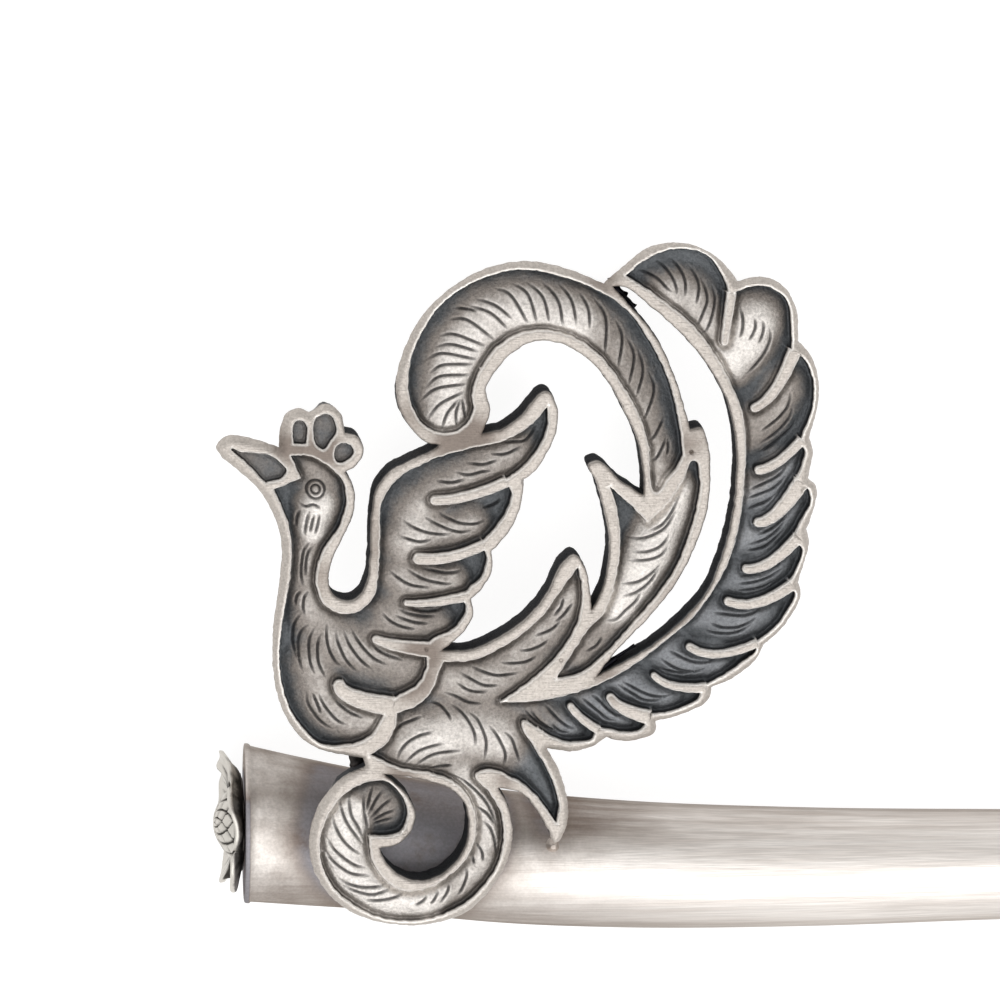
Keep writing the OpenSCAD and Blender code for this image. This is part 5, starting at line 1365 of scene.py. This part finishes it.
class CastingLook(bpy.types.PropertyGroup):
    """Sizes and colours of the casting"""
    thick: bpy.props.FloatProperty(
        name="Thickness", description="Thickness of the cast plate", default=THICK * MM,
        unit="LENGTH", min=2.6 * MM, max=3.4 * MM, precision=4
    )
    depth: bpy.props.FloatProperty(
        name="Cell depth", description="Depth of the cells below the rim", default=CELL_DEPTH * MM,
        unit="LENGTH", min=0.8 * MM, max=1.5 * MM, precision=4
    )
    step: bpy.props.FloatProperty(
        name="Mesh step", description="Distance between mesh points in the relief",
        default=0.17 * MM, unit="LENGTH", min=0.15 * MM, max=0.6 * MM, precision=5
    )
    patina: bpy.props.StringProperty(
        name="Patina", description="Hex colour of the blackened recesses", default="#2d2d2f"
    )
    tarnish_cold: bpy.props.StringProperty(
        name="Cold tarnish", description="Hex colour of the blue-grey tarnish", default="#686b6e"
    )
    tarnish_warm: bpy.props.StringProperty(
        name="Warm tarnish", description="Hex colour of the brown-grey tarnish", default="#918a84"
    )
    tarnish_steel: bpy.props.StringProperty(
        name="Steel tarnish", description="Hex colour of the tail's steel-grey tarnish",
        default="#8d8f92"
    )
    bare: bpy.props.StringProperty(
        name="Rubbed silver", description="Hex colour of the rubbed crests", default="#dad5d0"
    )
    # the rubbed edge, painted brighter as a highlight
    edge: bpy.props.StringProperty(
        name="Rubbed edge", description="Hex colour of the bright edge beside the cells",
        default="#f2eee9"
    )
    filed_brown: bpy.props.StringProperty(
        name="Stained rim", description="Hex colour of the brown stains on the rims",
        default="#857a72"
    )
    filed: bpy.props.StringProperty(
        name="Filed rim", description="Hex colour of the filed rims", default="#c3bcb5"
    )
    filed_dull: bpy.props.StringProperty(
        name="Dull rim", description="Hex colour of the duller spots on the rims",
        default="#a8a19a"
    )


class StemLook(bpy.types.PropertyGroup):
    """Colours of the stem"""
    silver: bpy.props.StringProperty(
        name="Silver", description="Hex colour of the brushed silver", default="#eae5e0"
    )
    silver_dull: bpy.props.StringProperty(
        name="Dull silver", description="Hex colour of its duller streaks", default="#d9d2cc"
    )
    burnt: bpy.props.StringProperty(
        name="Burnt patina", description="Hex colour of the rust-brown patches in the patina",
        default="#77655a"
    )
    # painted shade on the stem's lower side under the casting
    underside_shade: bpy.props.StringProperty(
        name="Underside", description="Hex colour of the tarnish under the casting's lower edge",
        default="#8a7f78"
    )
    end_dull: bpy.props.StringProperty(
        name="Dull end", description="Hex colour of the tarnish at the head end",
        default="#a39a93"
    )
    # patina round the casting, partly painted shadow
    soot_and_shadow: bpy.props.StringProperty(
        name="Patina", description="Hex colour of the patina round the casting",
        default="#98969a"
    )
    # brown scorch, and painted shade along the stem's top edge
    scorch_and_shade: bpy.props.StringProperty(
        name="Scorch", description="Hex colour of the brown heat stain", default="#83766d"
    )


class RosetteLook(bpy.types.PropertyGroup):
    """Sizes and colours of the rosette"""
    petals: bpy.props.IntProperty(
        name="Petals", description="Number of petals", default=5, min=5, max=6
    )
    dome: bpy.props.FloatProperty(
        name="Dome radius", description="Radius of the seed dome", default=2.35 * MM,
        unit="LENGTH", min=2.0 * MM, max=2.6 * MM, precision=4
    )
    patina: bpy.props.StringProperty(
        name="Patina", description="Hex colour of the recesses", default="#3f3c39"
    )
    bare: bpy.props.StringProperty(
        name="Rubbed silver", description="Hex colour of the raised parts", default="#cac6bf"
    )


class StageLook(bpy.types.PropertyGroup):
    """Lights and lens"""
    key: bpy.props.FloatProperty(
        name="Key light", description="Radiant power of the main softbox, in watts", default=1.5
    )
    fill: bpy.props.FloatProperty(
        name="Fill light", description="Radiant power of the weaker softbox, in watts",
        default=0.4
    )
    lens: bpy.props.FloatProperty(
        name="Lens", description="Focal length of the camera, in millimetres", default=400.0
    )


class BINYEO_OT_casting(bpy.types.Operator):
    """Makes the cast phoenix with its relief and engraved feathers"""
    bl_idname = "binyeo.casting"
    bl_label = "Cast phoenix"

    def execute(self, context):
        look = context.scene.binyeo_casting
        verts, faces, shade = casting_mesh(look.thick / MM, look.depth / MM, look.step / MM)
        made = piece("casting", verts, faces, plate_frame(), cast_silver(look), shade)
        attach(made, "root")
        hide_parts("phoenix")
        return {"FINISHED"}


class BINYEO_OT_solder(bpy.types.Operator):
    """Makes the solder: mounds under the casting, a lump above them, crumbs in the gaps"""
    bl_idname = "binyeo.solder"
    bl_label = "Solder"

    def execute(self, context):
        pale = solder_silver("silver_solder", "#cbc2ba", "#b9afa7")
        # the lump under the belly is painted near black for the shade it stands in
        shaded_solder = solder_silver("silver_solder_shaded", "#5a5552", "#2b2a2a")
        burnt = solder_silver("silver_solder_burnt", "#34333a", "#141416")

        made = piece("solder", *merge([mound_mesh(*row) for row in MOUNDS]), stem_frame(), pale)
        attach(made, "root")

        made = piece("solder_strut", *strut_mesh(*STRUT, 0.55, 4.0), stem_frame(), shaded_solder)
        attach(made, "root")

        crumbs = []
        for seed, (*ends, radius, height) in enumerate(RESIDUE):
            start, end = on_face(np.array(ends).reshape(2, 2))
            crumbs.append(strut_mesh((*start, height), (*end, height), radius, 9.0 + seed))
        made = piece("solder_residue", *merge(crumbs), plate_frame(), burnt)
        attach(made, "root")
        return {"FINISHED"}


class BINYEO_OT_stem(bpy.types.Operator):
    """Makes the brushed stem with its end plate and pointed tip"""
    bl_idname = "binyeo.stem"
    bl_label = "Stem"

    def execute(self, context):
        verts, faces = stem_mesh()
        # the casting's outline alone, in coarse steps, for the tarnish and painted shadow round it
        shade = stem_tarnish_and_shade(verts, Plate(THICK, CELL_DEPTH, 0.3))
        silver = brushed_silver(context.scene.binyeo_stem)
        made = piece("stem_tube", verts, faces, stem_frame(), silver, shade)
        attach(made, "root")
        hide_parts("stem")
        return {"FINISHED"}


class BINYEO_OT_rosette(bpy.types.Operator):
    """Makes the rosette on the head end"""
    bl_idname = "binyeo.rosette"
    bl_label = "Rosette"

    def execute(self, context):
        look = context.scene.binyeo_rosette
        verts, faces, shade = rosette_mesh(look.petals, look.dome / MM)
        # it faces away from the stem, in the middle of the end plate
        seat = Matrix(((0, 0, -1, 0), (0, 1, 0, 0), (1, 0, 0, 0), (0, 0, 0, 1)))
        seat.translation = Vector((HEAD_END - 0.3, 3.72, 0)) * MM
        made = piece("rosette_flower", verts, faces, stem_frame() @ seat, pressed_silver(look), shade)
        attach(made, "root")
        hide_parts("rosette")
        return {"FINISHED"}


class BINYEO_OT_stage(bpy.types.Operator):
    """Makes the floor, the lights and the camera"""
    bl_idname = "binyeo.stage"
    bl_label = "Stage"

    def execute(self, context):
        scene = context.scene
        look = scene.binyeo_stage
        scene.view_settings.view_transform = "Standard"
        reach = 3.0
        corners = [(-reach, -reach, 0), (reach, -reach, 0), (reach, reach, 0), (-reach, reach, 0)]
        mesh = bpy.data.meshes.new("floor")
        mesh.from_pydata(corners, [], [(0, 1, 2, 3)])
        mesh.materials.append(studio_sheet())
        floor = bpy.data.objects.new("floor", mesh)
        # just under the pin, so that no face lies in the floor
        floor.location.z = -0.02 * MM
        scene.collection.objects.link(floor)

        # a pale room, darker on the side below the picture
        base = stem_frame()
        middle = base @ (Vector(PICTURE_MIDDLE) * MM)
        turn = base.to_3x3()
        world = bpy.data.worlds.new("studio")
        scene.world = world
        world.use_nodes = True
        tree = world.node_tree
        tree.nodes.clear()
        way = add(tree, "TexCoord")
        low_side = turn @ Vector((0.1, -0.85, 0.5)).normalized()
        facing = add(tree, "VectorMath", way, low_side, operation="DOT_PRODUCT")
        bright = add(tree, "MapRange", facing, -0.3, 0.6, 0.70, 1.08, **SMOOTH)
        sky = add(tree, "Background", (1.0, 0.995, 0.99, 1.0), bright)
        add(tree, "OutputWorld", sky)

        def softbox(name, way, far, size, power):
            light = bpy.data.lights.new(name, "AREA")
            light.shape = "RECTANGLE"
            light.size, light.size_y = size
            light.energy = power
            made = bpy.data.objects.new(name, light)
            way = (turn @ Vector(way)).normalized()
            made.location = middle + way * far
            made.rotation_mode = "QUATERNION"
            made.rotation_quaternion = way.to_track_quat("Z", "Y")
            scene.collection.objects.link(made)

        softbox("key_softbox", (0.05, -0.42, 0.9), 0.5, (0.8, 0.46), look.key)
        softbox("fill_softbox", (-0.5, 0.75, 0.5), 0.7, (0.5, 0.3), look.fill)

        # the camera looks square at the picture's middle, with the casting upright
        view = turn @ Vector((-math.tan(VIEW_LEFT), math.tan(VIEW_ABOVE), 1)).normalized()
        along = turn @ Vector((1, 0, 0))
        along = (along - along.dot(view) * view).normalized()
        right = Matrix.Rotation(-PLATE_TURN, 3, view) @ along
        camera = bpy.data.cameras.new("camera")
        camera.lens = look.lens
        camera.sensor_width = 36
        camera.clip_start, camera.clip_end = 0.01, 20
        made = bpy.data.objects.new("camera", camera)
        place = Matrix((right, view.cross(right), view)).transposed().to_4x4()
        far = PICTURE_WIDE * MM * look.lens / camera.sensor_width
        place.translation = middle + view * far
        made.matrix_world = place
        scene.collection.objects.link(made)
        scene.camera = made
        return {"FINISHED"}


class BINYEO_PT_panel(bpy.types.Panel):
    """Lists the steps, each with its sizes and colours"""
    bl_idname = "BINYEO_PT_panel"
    bl_label = "Binyeo"
    bl_space_type = "VIEW_3D"
    bl_region_type = "UI"
    bl_category = "Binyeo"

    def draw(self, context):
        for operator, name, group in STEPS:
            self.layout.operator(operator.bl_idname)
            for key in group.__annotations__ if group else ():
                self.layout.prop(getattr(context.scene, name), key)


# Operators in the order in which they are called, each with its settings
STEPS = [
    (BINYEO_OT_casting, "binyeo_casting", CastingLook),
    (BINYEO_OT_solder, None, None),
    (BINYEO_OT_stem, "binyeo_stem", StemLook),
    (BINYEO_OT_rosette, "binyeo_rosette", RosetteLook),
    (BINYEO_OT_stage, "binyeo_stage", StageLook)
]


def register():
    """Makes the settings, the operators and the panel known."""
    for operator, name, group in STEPS:
        if group:
            bpy.utils.register_class(group)
            setattr(bpy.types.Scene, name, bpy.props.PointerProperty(type=group))
        bpy.utils.register_class(operator)
    bpy.utils.register_class(BINYEO_PT_panel)


def unregister():
    """Takes them out again."""
    bpy.utils.unregister_class(BINYEO_PT_panel)
    for operator, name, group in reversed(STEPS):
        bpy.utils.unregister_class(operator)
        if group:
            delattr(bpy.types.Scene, name)
            bpy.utils.unregister_class(group)


def main():
    """Makes every piece and the stage."""
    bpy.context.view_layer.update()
    register()
    bpy.ops.binyeo.casting()
    bpy.ops.binyeo.solder()
    bpy.ops.binyeo.stem()
    bpy.ops.binyeo.rosette()
    bpy.ops.binyeo.stage()


if __name__ == "__main__":
    main()
